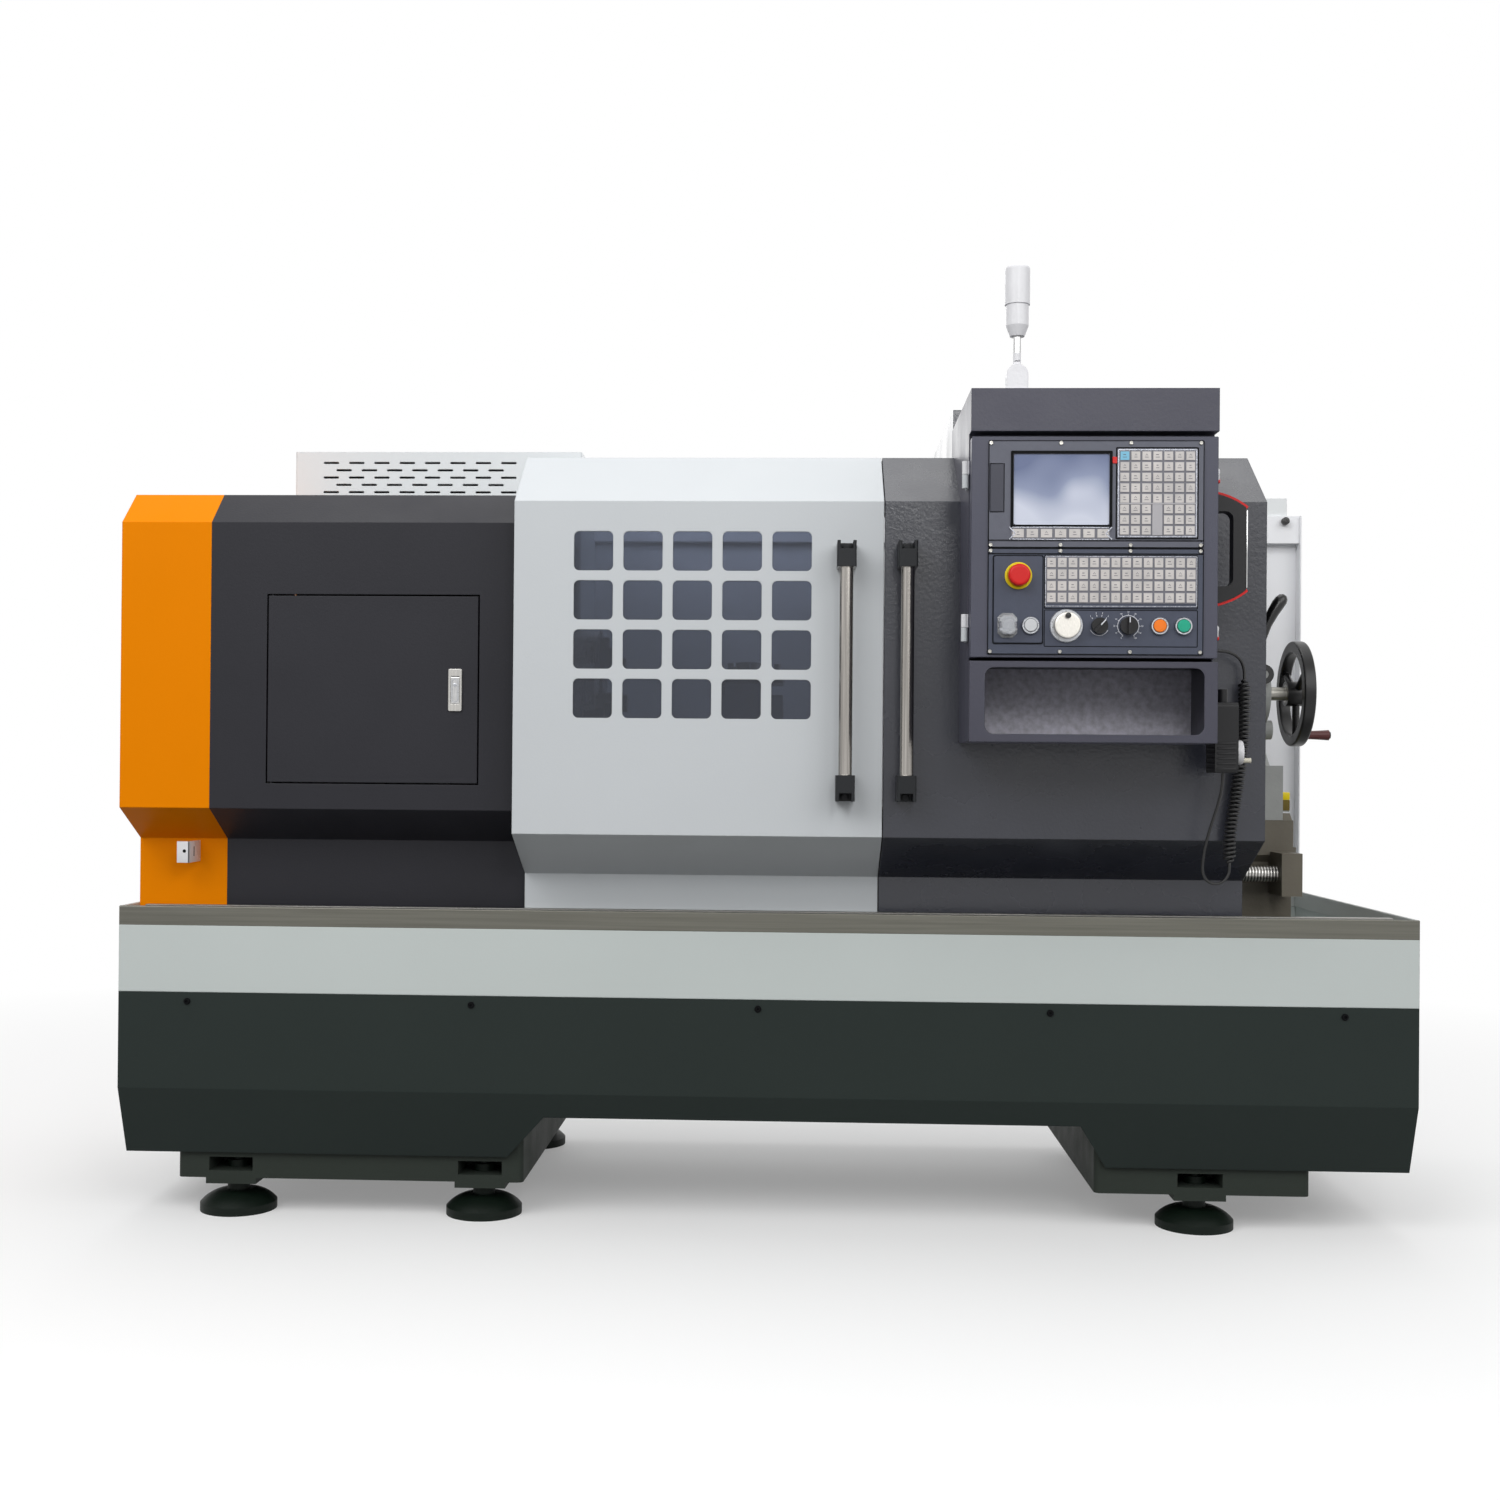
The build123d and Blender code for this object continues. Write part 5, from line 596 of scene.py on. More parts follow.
def rounded(x, z, radius, steps=4):
    """Points round a rectangle with rounded corners, as (x, z)."""
    corners = ((x[1], z[1], 0), (x[0], z[1], 90), (x[0], z[0], 180), (x[1], z[0], 270))
    points = []
    for cx, cz, start in corners:
        mx = cx - radius if cx == x[1] else cx + radius
        mz = cz - radius if cz == z[1] else cz + radius
        for step in range(steps + 1):
            turn = math.radians(start + 90 * step / steps)
            points.append((mx + radius * math.cos(turn), mz + radius * math.sin(turn)))
    return points


def octagon(centre, width, height, cut):
    """Points round a rectangle with cut corners, as (x, z)."""
    w, h = width / 2, height / 2
    flat = [(w, cut - h), (w, h - cut), (w - cut, h), (cut - w, h),
            (-w, h - cut), (-w, cut - h), (cut - w, -h), (w - cut, -h)]
    return [(centre[0] + x, centre[1] + z) for x, z in flat]


def at(centre, radius, turn):
    """The (x, z) place at a turn in degrees, clockwise from straight up."""
    angle = math.radians(turn)
    return centre[0] + radius * math.sin(angle), centre[1] + radius * math.cos(angle)


def arc(centre, radius, start, end, count):
    """Points along an arc, as (x, z)."""
    return [at(centre, radius, start + (end - start) * i / (count - 1)) for i in range(count)]


def slope(start, end, bow, count=14):
    """Points along a bowed slope, as (x, z)."""
    run, rise = end[0] - start[0], end[1] - start[1]
    length = math.hypot(run, rise)
    out = (rise / length, -run / length)
    points = []
    for i in range(count):
        t = i / (count - 1)
        swell = bow * 4 * t * (1 - t)
        points.append((start[0] + run * t + out[0] * swell, start[1] + rise * t + out[1] * swell))
    return points


def front(points, y):
    """(x, z) points set at a place along Y."""
    return [(x, y, z) for x, z in points]


def plate(x, z, y, radius, edge):
    """A plate facing the operator: its front, at y[0], has a chamfered edge."""
    inner = rounded(around(x, -edge), around(z, -edge), max(radius - edge, edge / 2))
    outer = rounded(x, z, radius)
    skin([front(outer, y[1]), front(outer, y[0] + edge), front(inner, y[0])])


def border(x, z, y, width, rise, radius):
    """A thin raised frame on a face at y."""
    outer = rounded(x, z, radius)
    inner = rounded(around(x, -width), around(z, -width), max(radius - width, 0.3))
    skin([front(outer, y), front(outer, y - rise), front(inner, y - rise), front(inner, y)], wrap=True)


def circle(centre, radius, place, axis, count):
    """A ring of points round an axis."""
    points = []
    for step in range(count):
        angle = 2 * math.pi * step / count
        u, v = centre[0] + radius * math.cos(angle), centre[1] + radius * math.sin(angle)
        points.append((place, u, v) if axis == "X" else (u, place, v))
    return points


def turned(centre, face, profile, way=-1, axis="Y", count=28, wrap=False):
    """A turned form: (radius, rise) pairs off a face, round an axis through a centre."""
    skin([circle(centre, radius, face + way * rise, axis, count) for radius, rise in profile], wrap)


SCREW_SHARES = ((1.0, 0.0), (1.0, 0.5), (0.78, 1.0), (0.46, 1.0), (0.42, 0.3), (0.1, 0.3))


def screw(x, z, y, radius, rise):
    """A domed screw head with a round socket, on a face at y."""
    turned((x, z), y, [(radius * r, rise * h) for r, h in SCREW_SHARES], count=18)


def bar(x, y, z, edge):
    """A bar between limits, all its edges chamfered."""
    made = bmesh.ops.create_cube(form, size=1.0)["verts"]
    bmesh.ops.scale(form, vec=[high - low for low, high in (x, y, z)], verts=made)
    bmesh.ops.translate(form, vec=[(low + high) / 2 for low, high in (x, y, z)], verts=made)
    edges = list({e for v in made for e in v.link_edges})
    bmesh.ops.bevel(form, geom=edges, offset=edge, segments=2, affect="EDGES", profile=0.5)


def strip(points, half, thick, y):
    """A flat strip along (x, z) points, raised off a face at y."""
    loops = []
    for i, (x, z) in enumerate(points):
        a, b = points[max(i - 1, 0)], points[min(i + 1, len(points) - 1)]
        run = math.hypot(b[0] - a[0], b[1] - a[1])
        nx, nz = -(b[1] - a[1]) / run * half, (b[0] - a[0]) / run * half
        near = [(x + nx, y, z + nz), (x - nx, y, z - nz)]
        loops.append(near + [(u, y - thick, v) for u, _, v in near[::-1]])
    skin(loops)


def figure(words, place, y, size):
    """A plain printed number, facing the operator."""
    letters = bpy.data.curves.new("figure", "FONT")
    letters.body = words
    letters.size = size
    letters.align_x = "CENTER"
    letters.align_y = "CENTER"
    letters.extrude = 0.1
    holder = bpy.data.objects.new("figure", letters)
    scene.collection.objects.link(holder)
    mesh = bpy.data.meshes.new_from_object(holder)
    mesh.transform(Matrix.Translation((place[0], y, place[1])) @ Matrix.Rotation(math.radians(90), 4, "X"))
    form.from_mesh(mesh)
    bpy.data.objects.remove(holder)
    bpy.data.meshes.remove(mesh)


def face_centre(node):
    """The (x, z) middle of a control on the panel."""
    return middle(node, "X"), middle(node, "Z")


# Panel's plates: screws, dark grooves as (x, z, face, width, rise, corner radius), and trims

SCREW_ROWS = (1460.6, 1283.0, 1272.8, 1097.4)
SCREW_COLUMNS = (403.6, 524.5, 645.3, 765.8)
for screw_z in SCREW_ROWS:
    for screw_x in SCREW_COLUMNS:
        screw(screw_x, screw_z, PLATE, radius=3.7, rise=2.4)
piece("panel_screws", "screw", "panel")

plate_edge_x = around(PLATE_X, 0.6)
seam_x = around(PLATE_X, 0.5)
grooves = [
    ((408.0, 495.5), (1110.5, 1265.0), PLATE, 1.5, 1.7, 3.0),
    ((497.0, 762.0), (1172.0, 1265.5), PLATE, 1.5, 0.5, 2.0),
    ((497.0, 762.0), (1106.0, 1170.5), PLATE, 1.3, 0.5, 2.0),
    (plate_edge_x, (OPERATOR_Z[0] - 0.6, OPERATOR_Z[1] + 0.2), PANEL_FACE, 1.3, 2.9, 2.0),
    (plate_edge_x, (UNIT_Z[0] - 0.1, UNIT_Z[1] + 0.7), PANEL_FACE, 1.3, 2.9, 2.0),
    (seam_x, (1289.6, 1292.2), PLATE, 1.0, 0.4, 0.8),
    (seam_x, (1266.4, 1268.8), PLATE, 1.0, 0.4, 0.8),
    ((438.0, 613.5), (1313.5, 1447.0), PLATE, 4.6, 1.6, 2.0),
    ((619.5, 762.0), (1293.5, 1453.5), PLATE, 2.2, 0.5, 2.0),
]
flap_x, flap_z = span("socket_flap", "X"), around(span("socket_flap", "Z"), 0.9)
flap_edge = flap_x[1] + 0.6
for groove in grooves:
    border(*groove)
flap_line = [(flap_x[0], flap_z[0]), (flap_edge, flap_z[0]), (flap_edge, flap_z[1]), (flap_x[0], flap_z[1])]
strip(flap_line, half=0.5, thick=0.4, y=PLATE)
piece("panel_borders", "groove", "panel")

SOFT_ENDS = (436.0, 441.0, 446.0)
SOFT_MIDDLE = SOFT_PAD[0] + SOFT_PAD[1] / 2
soft_line = [(SOFT_ENDS[0], 1314.0), (SOFT_ENDS[1], 1308.5), (SOFT_ENDS[2], 1303.0), (SOFT_ENDS[1], 1297.5),
             (SOFT_ENDS[0], 1292.5)]
border((622.6, 759.2), (1297.0, 1450.0), PLATE, width=2.2, rise=1.6, radius=2.0)
border((498.6, 760.4), (1176.0, 1264.0), PLATE, width=1.3, rise=1.2, radius=1.5)
strip(soft_line, half=1.1, thick=2.6, y=PLATE)
strip([(2 * SOFT_MIDDLE - x, z) for x, z in soft_line], half=1.1, thick=2.6, y=PLATE)
for soft_z, bow in ((1313.4, 0.4), (1293.0, -0.4)):
    strip([(441.0, soft_z), (520.0, soft_z + bow), (608.0, soft_z)], half=0.8, thick=2.2, y=PLATE)
piece("panel_trims", "trim", "panel")

# Panel's controls: rings as (radius, rise) profiles, the hand wheel's knob and the guard over one button

ESTOP_RING = ((10.8, 2.0), (23.6, 0.0), (23.6, 2.9), (22.6, 3.8), (20.0, 3.8), (19.6, 3.1), (10.8, 3.1))
BUTTON_RING = ((11.5, 0.0), (15.6, 0.0), (15.6, 5.0), (14.4, 6.8), (12.2, 6.8), (11.5, 6.0))
GUARDED_RING = ((11.5, 0.0), (15.4, 0.0), (15.4, 6.0), (14.2, 6.8), (11.5, 6.8))
WHEEL_RING = ((10.0, 0.0), (29.0, 0.0), (29.0, 3.0), (27.8, 4.3), (10.0, 4.3))
WHEEL_KNOB = ((2.6, -2.0), (3.0, 1.0), (4.6, 2.2), (5.0, 5.0), (4.2, 6.6), (0.6, 7.0))
KNOB_OFFSET = 16.0

turned(face_centre("estop_button"), SUB_PLATE, ESTOP_RING, wrap=True, count=40)
piece("estop_ring", "yellow", "panel")

for button, face in (("grey_button", SUB_PLATE), ("orange_button", PLATE), ("green_button", PLATE)):
    turned(face_centre(button), face, BUTTON_RING, wrap=True, count=32)
piece("button_rings", "bezel", "panel")

wheel_x = middle("mpg_wheel", "X")
turned((wheel_x, BUTTON_ROW), PLATE, WHEEL_RING, wrap=True, count=48)
piece("wheel_ring", "bezel", "panel")

turned((wheel_x, BUTTON_ROW + KNOB_OFFSET), span("mpg_wheel", "Y")[0], WHEEL_KNOB, count=20)
piece("wheel_knob", "gloss_black", "mpg")

# Guard as (width, height, corner cut, rise) of its layers, outside and inside
GUARD_SHELL = ((34.0, 43.0, 8.0, 0.0), (34.0, 43.0, 8.0, 1.6), (31.0, 33.0, 7.0, 3.0),
               (30.6, 32.6, 7.0, 17.0), (27.0, 29.0, 7.0, 19.0))
GUARD_HOLLOW = ((28.6, 30.6, 7.0, 0.6), (28.2, 30.2, 7.0, 15.8), (25.0, 27.0, 7.0, 17.4))
guarded = face_centre("guarded_button")
for layers in (GUARD_SHELL, GUARD_HOLLOW):
    skin([front(octagon(guarded, w, h, cut), SUB_PLATE - rise) for w, h, cut, rise in layers])
piece("button_guard", "film", "panel", sharp=20.0)

turned(guarded, SUB_PLATE, GUARDED_RING, wrap=True, count=32)
piece("guarded_ring", "pale_cap", "panel")

# Panel's print: dial marks with numbers, pointers on the knobs, key marks

INK = 0.3
MODE_TURNS = (-42, -14, 14, 42)
mode_centre = face_centre("mode_knob")
override_centre = face_centre("override_knob")
strip(arc(mode_centre, 16.6, 115, 245, 18), half=0.5, thick=INK, y=PLATE)
for place, turn in enumerate(MODE_TURNS):
    strip([at(mode_centre, radius, turn) for radius in (16.6, 19.4)], half=0.5, thick=INK, y=PLATE)
    figure(str(place + 1), at(mode_centre, 22.6, turn), PLATE, size=4.4)
strip(arc(override_centre, 18.4, -150, 150, 40), half=0.55, thick=INK, y=PLATE)
for place in range(11):
    turn = -150 + 30 * place
    strip([at(override_centre, radius, turn) for radius in (18.4, 21.0)], half=0.5, thick=INK, y=PLATE)
    figure(str(10 * place), at(override_centre, 24.2, turn), PLATE, size=3.6)
piece("dial_marks", "white_ink", "panel")

mode_line = [at(mode_centre, radius, MODE_TURNS[-1]) for radius in (1.0, 13.6)]
strip(mode_line, half=1.0, thick=0.25, y=span("mode_knob", "Y")[0])
piece("mode_mark", "white_ink", "mode")

override_line = [at(override_centre, radius, 0) for radius in (5.0, 14.6)]
strip(override_line, half=0.9, thick=0.25, y=span("override_knob", "Y")[0])
piece("override_mark", "white_ink", "override")

plate((611.5, 621.5), (1425.0, 1436.6), (PLATE - 1.6, PLATE), radius=1.4, edge=0.6)
piece("panel_light", "red", "panel")

BLANK_COLUMN = 3
BLANK_ROWS = 3
blank_depth = (KEY_TOP - 0.3, PLATE)
plate((682.3, 699.7), (1300.0, 1353.8), blank_depth, radius=1.0, edge=0.4)
plate((625.4, 756.6), (1353.6, 1356.4), blank_depth, radius=0.8, edge=0.3)
piece("keypad_blank", "key_blank", "panel")

KEY_INK = 0.15
for pad in (UNIT_PAD, SOFT_PAD, OPERATOR_PAD):
    left, width, bottom, height, columns, rows = pad
    for row in range(rows):
        for column in range(columns):
            if pad == UNIT_PAD and column == BLANK_COLUMN and row < BLANK_ROWS:
                continue
            x = left + width * (column + 0.5) / columns
            z = bottom + height * (row + 0.5) / rows
            run = 2.6 + 0.5 * ((column + row * 2) % 3)
            strip([(x - run, z - 2.4), (x + run, z - 2.4)], half=0.45, thick=KEY_INK, y=KEY_TOP)
            if (column * 5 + row * 3) % 4 < 2:
                upper = [(x - run * 0.8, z + 2.0), (x + run * 0.5, z + 2.0)]
                strip(upper, half=0.6, thick=KEY_INK, y=KEY_TOP)
            else:
                roof = [(x - 1.8, z + 0.4), (x, z + 3.4), (x + 1.8, z + 0.4)]
                strip(roof, half=0.4, thick=KEY_INK, y=KEY_TOP)
piece("key_marks", "ink", "panel")

# Panel's back, as depths behind its sheet: display housing, contact blocks, encoder and key boards

BACK_SEAT = PANEL_BACK - 0.2
HOUSING_DEPTH = 23.0
RIB_COUNT = 7
RIB_PITCH = 23.0
housing_x, housing_z = around(span("screen", "X"), 6.5), around(span("screen", "Z"), 6.5)
rib_y = (PANEL_BACK + 22.0, PANEL_BACK + 28.0)
bar(housing_x, (BACK_SEAT, PANEL_BACK + HOUSING_DEPTH), housing_z, edge=3.0)
for rib in range(RIB_COUNT):
    rib_x = middle("screen", "X") + RIB_PITCH * (rib - (RIB_COUNT - 1) / 2) - 1.0
    bar(about(rib_x, 3.0), rib_y, around(housing_z, -10.0), edge=1.2)
piece("display_housing", "black", "panel")

BLOCK_HALF = 16.0
BLOCK_LEG = 3.0
TERMINAL = ((3.4, 26.6), (3.4, 28.2), (0.4, 28.6))
block_depth = (PANEL_BACK + 6.6, PANEL_BACK + 27.0)
leg_depth = (BACK_SEAT, PANEL_BACK + 8.0)
controls = ("estop_button", "guarded_button", "grey_button", "mode_knob", "override_knob", "orange_button",
            "green_button")
for control in controls:
    x, z = face_centre(control)
    bar(about(x, BLOCK_HALF), block_depth, about(z, 15.0), edge=1.2)
    for side in (-1, 1):
        leg_x = sorted((x + side * (BLOCK_HALF - BLOCK_LEG), x + side * BLOCK_HALF))
        bar(leg_x, leg_depth, about(z, 14.0), edge=0.6)
        turned((x + side * 9.0, z), PANEL_BACK, TERMINAL, way=1, count=12)
piece("contact_blocks", "flap", "panel")

ENCODER = ((0.5, 2.6), (12.0, 2.6), (12.0, -0.2), (25.0, -0.2), (25.0, 19.0), (23.5, 21.0), (8.0, 21.0),
           (7.0, 26.0), (0.5, 26.0))
turned((wheel_x, BUTTON_ROW), PANEL_BACK, ENCODER, way=1, count=40)
piece("wheel_encoder", "screw", "panel")

STAND_OFF = ((3.0, -0.2), (3.0, 9.0), (0.4, 9.4))
STAND_INSET = 6.0
for board_x, board_z in (((626.0, 757.0), (1300.0, 1447.0)), ((501.0, 758.0), (1180.0, 1262.0))):
    bar(board_x, (PANEL_BACK + 5.0, PANEL_BACK + 6.8), board_z, edge=0.4)
    for corner_x in around(board_x, -STAND_INSET):
        for corner_z in around(board_z, -STAND_INSET):
            turned((corner_x, corner_z), PANEL_BACK, STAND_OFF, way=1, count=12)
piece("key_boards", "board", "panel")

# Chips on the boards as (x, z, half of the length)
chips = ((650.0, 1420.0, 15.0), (700.0, 1410.0, 22.0), (670.0, 1350.0, 18.0), (725.0, 1340.0, 14.0),
         (540.0, 1222.0, 16.0), (600.0, 1215.0, 24.0), (660.0, 1228.0, 16.0), (715.0, 1214.0, 14.0))
for x, z, half in chips:
    bar(about(x, half), (PANEL_BACK + 6.6, PANEL_BACK + 13.0), about(z, 8.0), edge=0.8)
piece("board_chips", "black", "panel")

# Base and covers: skirt screws, the end cover's bracket, the flush latch's rib and lock

SKIRT_SCREW_XS = (-1114.0, -557.0, -2.0, 556.0, 1111.0)
for screw_x in SKIRT_SCREW_XS:
    screw(screw_x, span("base_skirt", "Z")[1] - 18.0, span("base_skirt", "Y")[0], radius=6.6, rise=4.0)
piece("skirt_screws", "groove", "frame")

BRACKET_X = (-1146.0, -1121.5)
BRACKET_Y = (-258.0, -191.5)
BRACKET_Z = (696.0, 738.0)
BRACKET_SHEET = 2.7
BRACKET_HOLE = ((3.4, 0.3), (3.4, -0.4), (0.3, -0.4))
HOLE_PLACE = (-1131.0, 719.0)
SLOT_Y = (-232.0, -228.0)
SLOT_Z = (708.0, 727.0)
bar((BRACKET_X[1] - BRACKET_SHEET, BRACKET_X[1]), BRACKET_Y, BRACKET_Z, edge=0.6)
bar(BRACKET_X, (BRACKET_Y[0], BRACKET_Y[0] + BRACKET_SHEET), BRACKET_Z, edge=0.6)
piece("cover_bracket", "white_plastic", "frame")

turned(HOLE_PLACE, BRACKET_Y[0], BRACKET_HOLE, count=18)
bar((BRACKET_X[1] - 0.2, BRACKET_X[1] + 0.3), SLOT_Y, SLOT_Z, edge=0.2)
piece("bracket_holes", "groove", "frame")

LATCH_LOCK = ((3.6, -0.2), (3.6, 1.0), (2.6, 1.4), (1.0, 1.4), (0.9, 0.4), (0.2, 0.4))
latch_face = span("access_latch", "Y")[0]
rib_z = (LATCH_Z[0] + 2.0, LATCH_Z[1] - 4.5)
border(around(LATCH_X, -1.4), rib_z, latch_face, width=1.5, rise=0.9, radius=6.4)
turned((middle("access_latch", "X"), LATCH_Z[1] - 16.5), latch_face, LATCH_LOCK, count=18)
piece("latch_rib", "bezel", "latch")

# Control cabinet's side: latches with red tabs, the grip's strips and trim

CABINET_LATCH_ZS = (1412.6, 1136.7)
CABINET_LATCH_Y = -540.0
LATCH_TAB_ZS = ((1397.5, 1404.5), (1121.5, 1128.5))
LATCH_KNOB = ((5.0, 8.0), (5.0, 9.2), (3.6, 10.2), (0.5, 10.2))
base_x = (CABINET_SIDE - 0.5, CABINET_SIDE + 5.0)
bolt_x = (CABINET_SIDE + 4.5, CABINET_SIDE + 8.5)
tab_x = (CABINET_SIDE + 5.5, CABINET_SIDE + 10.0)
for z in CABINET_LATCH_ZS:
    bar(base_x, about(CABINET_LATCH_Y, 12.0), about(z, 13.0), edge=1.2)
    bar(bolt_x, about(CABINET_LATCH_Y, 9.0), about(z, 10.0), edge=1.6)
    turned((CABINET_LATCH_Y, z + 5.0), CABINET_SIDE, LATCH_KNOB, way=1, axis="X", count=18)
piece("cabinet_latches", "white_plastic", "hood")

for tab_z in LATCH_TAB_ZS:
    bar(tab_x, about(CABINET_LATCH_Y, 7.0), tab_z, edge=1.2)
piece("latch_tabs", "red", "hood")

GRIP_LEAN = 27.0
GRIP_EDGE = 1.3
grip_x, grip_y, grip_z = (span("side_grip", axis) for axis in "XYZ")
strip_x = (grip_x[0] + 0.6, grip_x[1])
strip_depth = grip_y[1] - grip_y[0] - 2 * GRIP_EDGE
lower = slope((strip_x[0], grip_z[0]), (strip_x[1], grip_z[0] + GRIP_LEAN), bow=4.55)
upper = slope((strip_x[1], grip_z[1] - GRIP_LEAN), (strip_x[0], grip_z[1]), bow=4.55)
for points in (lower, upper):
    strip(points, half=4.2, thick=strip_depth, y=grip_y[1] - GRIP_EDGE)
piece("grip_strips", "red", "hood")

trim_x, trim_y = (grip_x[1] - 0.8, grip_x[1] + 1.2), (grip_y[0] + 0.8, grip_y[0] + 3.6)
bar(trim_x, trim_y, around(grip_z, -30.0), edge=0.5)
piece("grip_trim", "bright", "hood")

# Hand pendant: ribs round its body, the dial's finger knob and dots

PENDANT_RIBS = 6
PENDANT_PITCH = 9.0
RIB_RISE = 1.0
pendant_x = (806.6, span("pendant_body", "X")[1])
pendant_y = around(span("pendant_body", "Y"), 1.6)
rib_outer = rounded(pendant_x, pendant_y, 8.5)
rib_inner = rounded((pendant_x[0] + RIB_RISE, pendant_x[1]), around(pendant_y, -RIB_RISE), 7.5)
layers = ((rib_inner, 0.0), (rib_outer, 1.2), (rib_outer, 3.2), (rib_inner, 4.4))
for rib in range(PENDANT_RIBS):
    low = span("pendant_body", "Z")[0] + 5.0 + PENDANT_PITCH * rib
    skin([[(x, y, low + rise) for x, y in loop] for loop, rise in layers])
piece("pendant_ribs", "black", "hood")

DIAL_FACE = 863.0
DIAL_GRIP = ((4.4, -1.0), (4.6, 3.0), (4.2, 12.0), (4.9, 16.0), (0.5, 17.0))
DIAL_DOT = ((0.7, 0.0), (0.7, 0.9), (0.2, 1.0))
DOT_COUNT = 24
dial_y, dial_z = middle("pendant_dial", "Y"), middle("pendant_dial", "Z")
turned((dial_y, dial_z - 14.0), DIAL_FACE, DIAL_GRIP, way=1, axis="X", count=20)
piece("dial_grip", "cream", "dial")

for step in range(DOT_COUNT):
    angle = 2 * math.pi * step / DOT_COUNT
    reach = 20.6 if step % 6 else 17.0
    centre = (dial_y + reach * math.cos(angle), dial_z + reach * math.sin(angle))
    turned(centre, DIAL_FACE, DIAL_DOT, way=1, axis="X", count=8)
piece("dial_dots", "ink", "dial")

# Tailstock: the way wiper's yellow cover, under it a darker yellow block that is painted shade for the
# wiper's side, and the moulded handle on the clamp lever

WIPER_X = (1043.6, 1085.6)
WIPER_Y = (6.8, 128.8)
WIPER_COVER_Z = (834.0, 850.4)
WIPER_SHADED_SIDE_Z = (812.2, 834.4)
bar(WIPER_X, WIPER_Y, WIPER_COVER_Z, edge=2.4)
piece("wiper_cover", "yellow", "tailstock_unit")

# Painted shade: the wiper's side, as a block in a darker, browner yellow than its top.
bar((WIPER_X[0] + 0.2, WIPER_X[1] - 0.4), around(WIPER_Y, -0.4), WIPER_SHADED_SIDE_Z, edge=1.2)
piece("wiper_shaded_side", "shaded_yellow", "tailstock_unit")

# Handle as (share of the way from the lever's hub to its ball, radius)
LEVER_HANDLE = ((0.34, 6.0), (0.36, 7.6), (0.5, 8.2), (0.68, 9.8), (0.84, 12.0), (0.96, 13.2), (1.02, 13.0),
                (1.06, 10.4), (1.085, 5.0), (1.09, 1.0))
LEVER_HUB_RADIUS = 20.0
LEVER_BALL_RADIUS = 12.0
LEVER_BOW = 18.0
RING_POINTS = 22
lever_x, lever_z = span("quill_lever", "X"), span("quill_lever", "Z")
lever_y = middle("quill_lever", "Y")
hub = Vector((lever_x[0] + LEVER_HUB_RADIUS, lever_y, lever_z[0] + LEVER_HUB_RADIUS))
ball = Vector((lever_x[1] - LEVER_BALL_RADIUS, lever_y, lever_z[1] - LEVER_BALL_RADIUS))
pull = (hub + ball) / 2 + Vector((-2 * LEVER_BOW, 0.0, 0.0))
side = Vector((0.0, 1.0, 0.0))
turns = [2 * math.pi * i / RING_POINTS for i in range(RING_POINTS)]
loops = []
for share, radius in LEVER_HANDLE:
    centre = hub * (1 - share) ** 2 + pull * (2 * share * (1 - share)) + ball * share ** 2
    along = ((pull - hub) * (1 - share) + (ball - pull) * share).normalized()
    across = along.cross(side)
    loops.append([centre + side * (radius * math.cos(t)) + across * (radius * math.sin(t)) for t in turns])
skin(loops)
piece("lever_handle", "gloss_black", "clamp_lever")

# Back guard and end cover: stop roller, seams of the sheets and their screws

ROLLER = ((4.0, 0.0), (4.0, 3.0), (8.6, 3.6), (9.0, 6.0), (9.0, 15.0), (8.4, 16.4), (3.0, 17.0), (3.0, 15.4),
          (0.5, 15.4))
ROLLER_PLACE = (1208.0, 1481.0)
GUARD_SEAMS = (130.0, 690.0)
SEAM_SCREWS = 18.0
guard_x = span("back_guard", "X")
seam_z = around(span("back_guard", "Z"), -3.0)
guard_front, guard_rear = span("back_guard", "Y")
turned(ROLLER_PLACE, guard_front + 8.0, ROLLER)
piece("guard_roller", "gloss_black", "frame")

for seam in GUARD_SEAMS:
    bar(about(seam, 1.0), about(guard_rear, 0.6), seam_z, edge=0.3)
piece("guard_seams", "groove", "frame")

END_SCREW = ((5.6, -0.5), (5.6, 1.5), (4.4, 3.1), (2.6, 3.1), (2.4, 1.1), (0.5, 1.1))
end_face = span("end_cover", "X")[0]
screw_xs = [guard_x[0] + 25.0, guard_x[1] - 24.0]
for seam in GUARD_SEAMS:
    screw_xs += about(seam, SEAM_SCREWS)
for screw_x in screw_xs:
    for screw_z in (640.0, 920.0, 1200.0, 1470.0):
        screw(screw_x, screw_z, guard_rear, radius=5.0, rise=-3.0)
for screw_y in (-165.0, 40.0, 235.0):
    for screw_z in (650.0, 1022.0, 1395.0):
        turned((screw_y, screw_z), end_face, END_SCREW, axis="X", count=18)
piece("sheet_screws", "screw", "frame")

# Rear cabinet: seams of its two doors, and their handles with locks

DOOR_Z = (640.0, 1570.0)
DOOR_GAP = 3.0
HANDLE_OFFSET = 27.0
HANDLE_Z = (1040.0, 1150.0)
LOCK = ((6.0, 3.5), (6.0, 5.0), (2.4, 5.6), (2.2, 4.6), (0.4, 4.6))
cabinet_left, cabinet_right = around(span("rear_cabinet", "X"), -18.0)
cabinet_middle = middle("rear_cabinet", "X")
cabinet_rear = span("rear_cabinet", "Y")[1]
for door_x in ((cabinet_left, cabinet_middle - DOOR_GAP), (cabinet_middle + DOOR_GAP, cabinet_right)):
    border(door_x, DOOR_Z, cabinet_rear, width=2.0, rise=-1.2, radius=4.0)
piece("cabinet_seams", "groove", "frame")

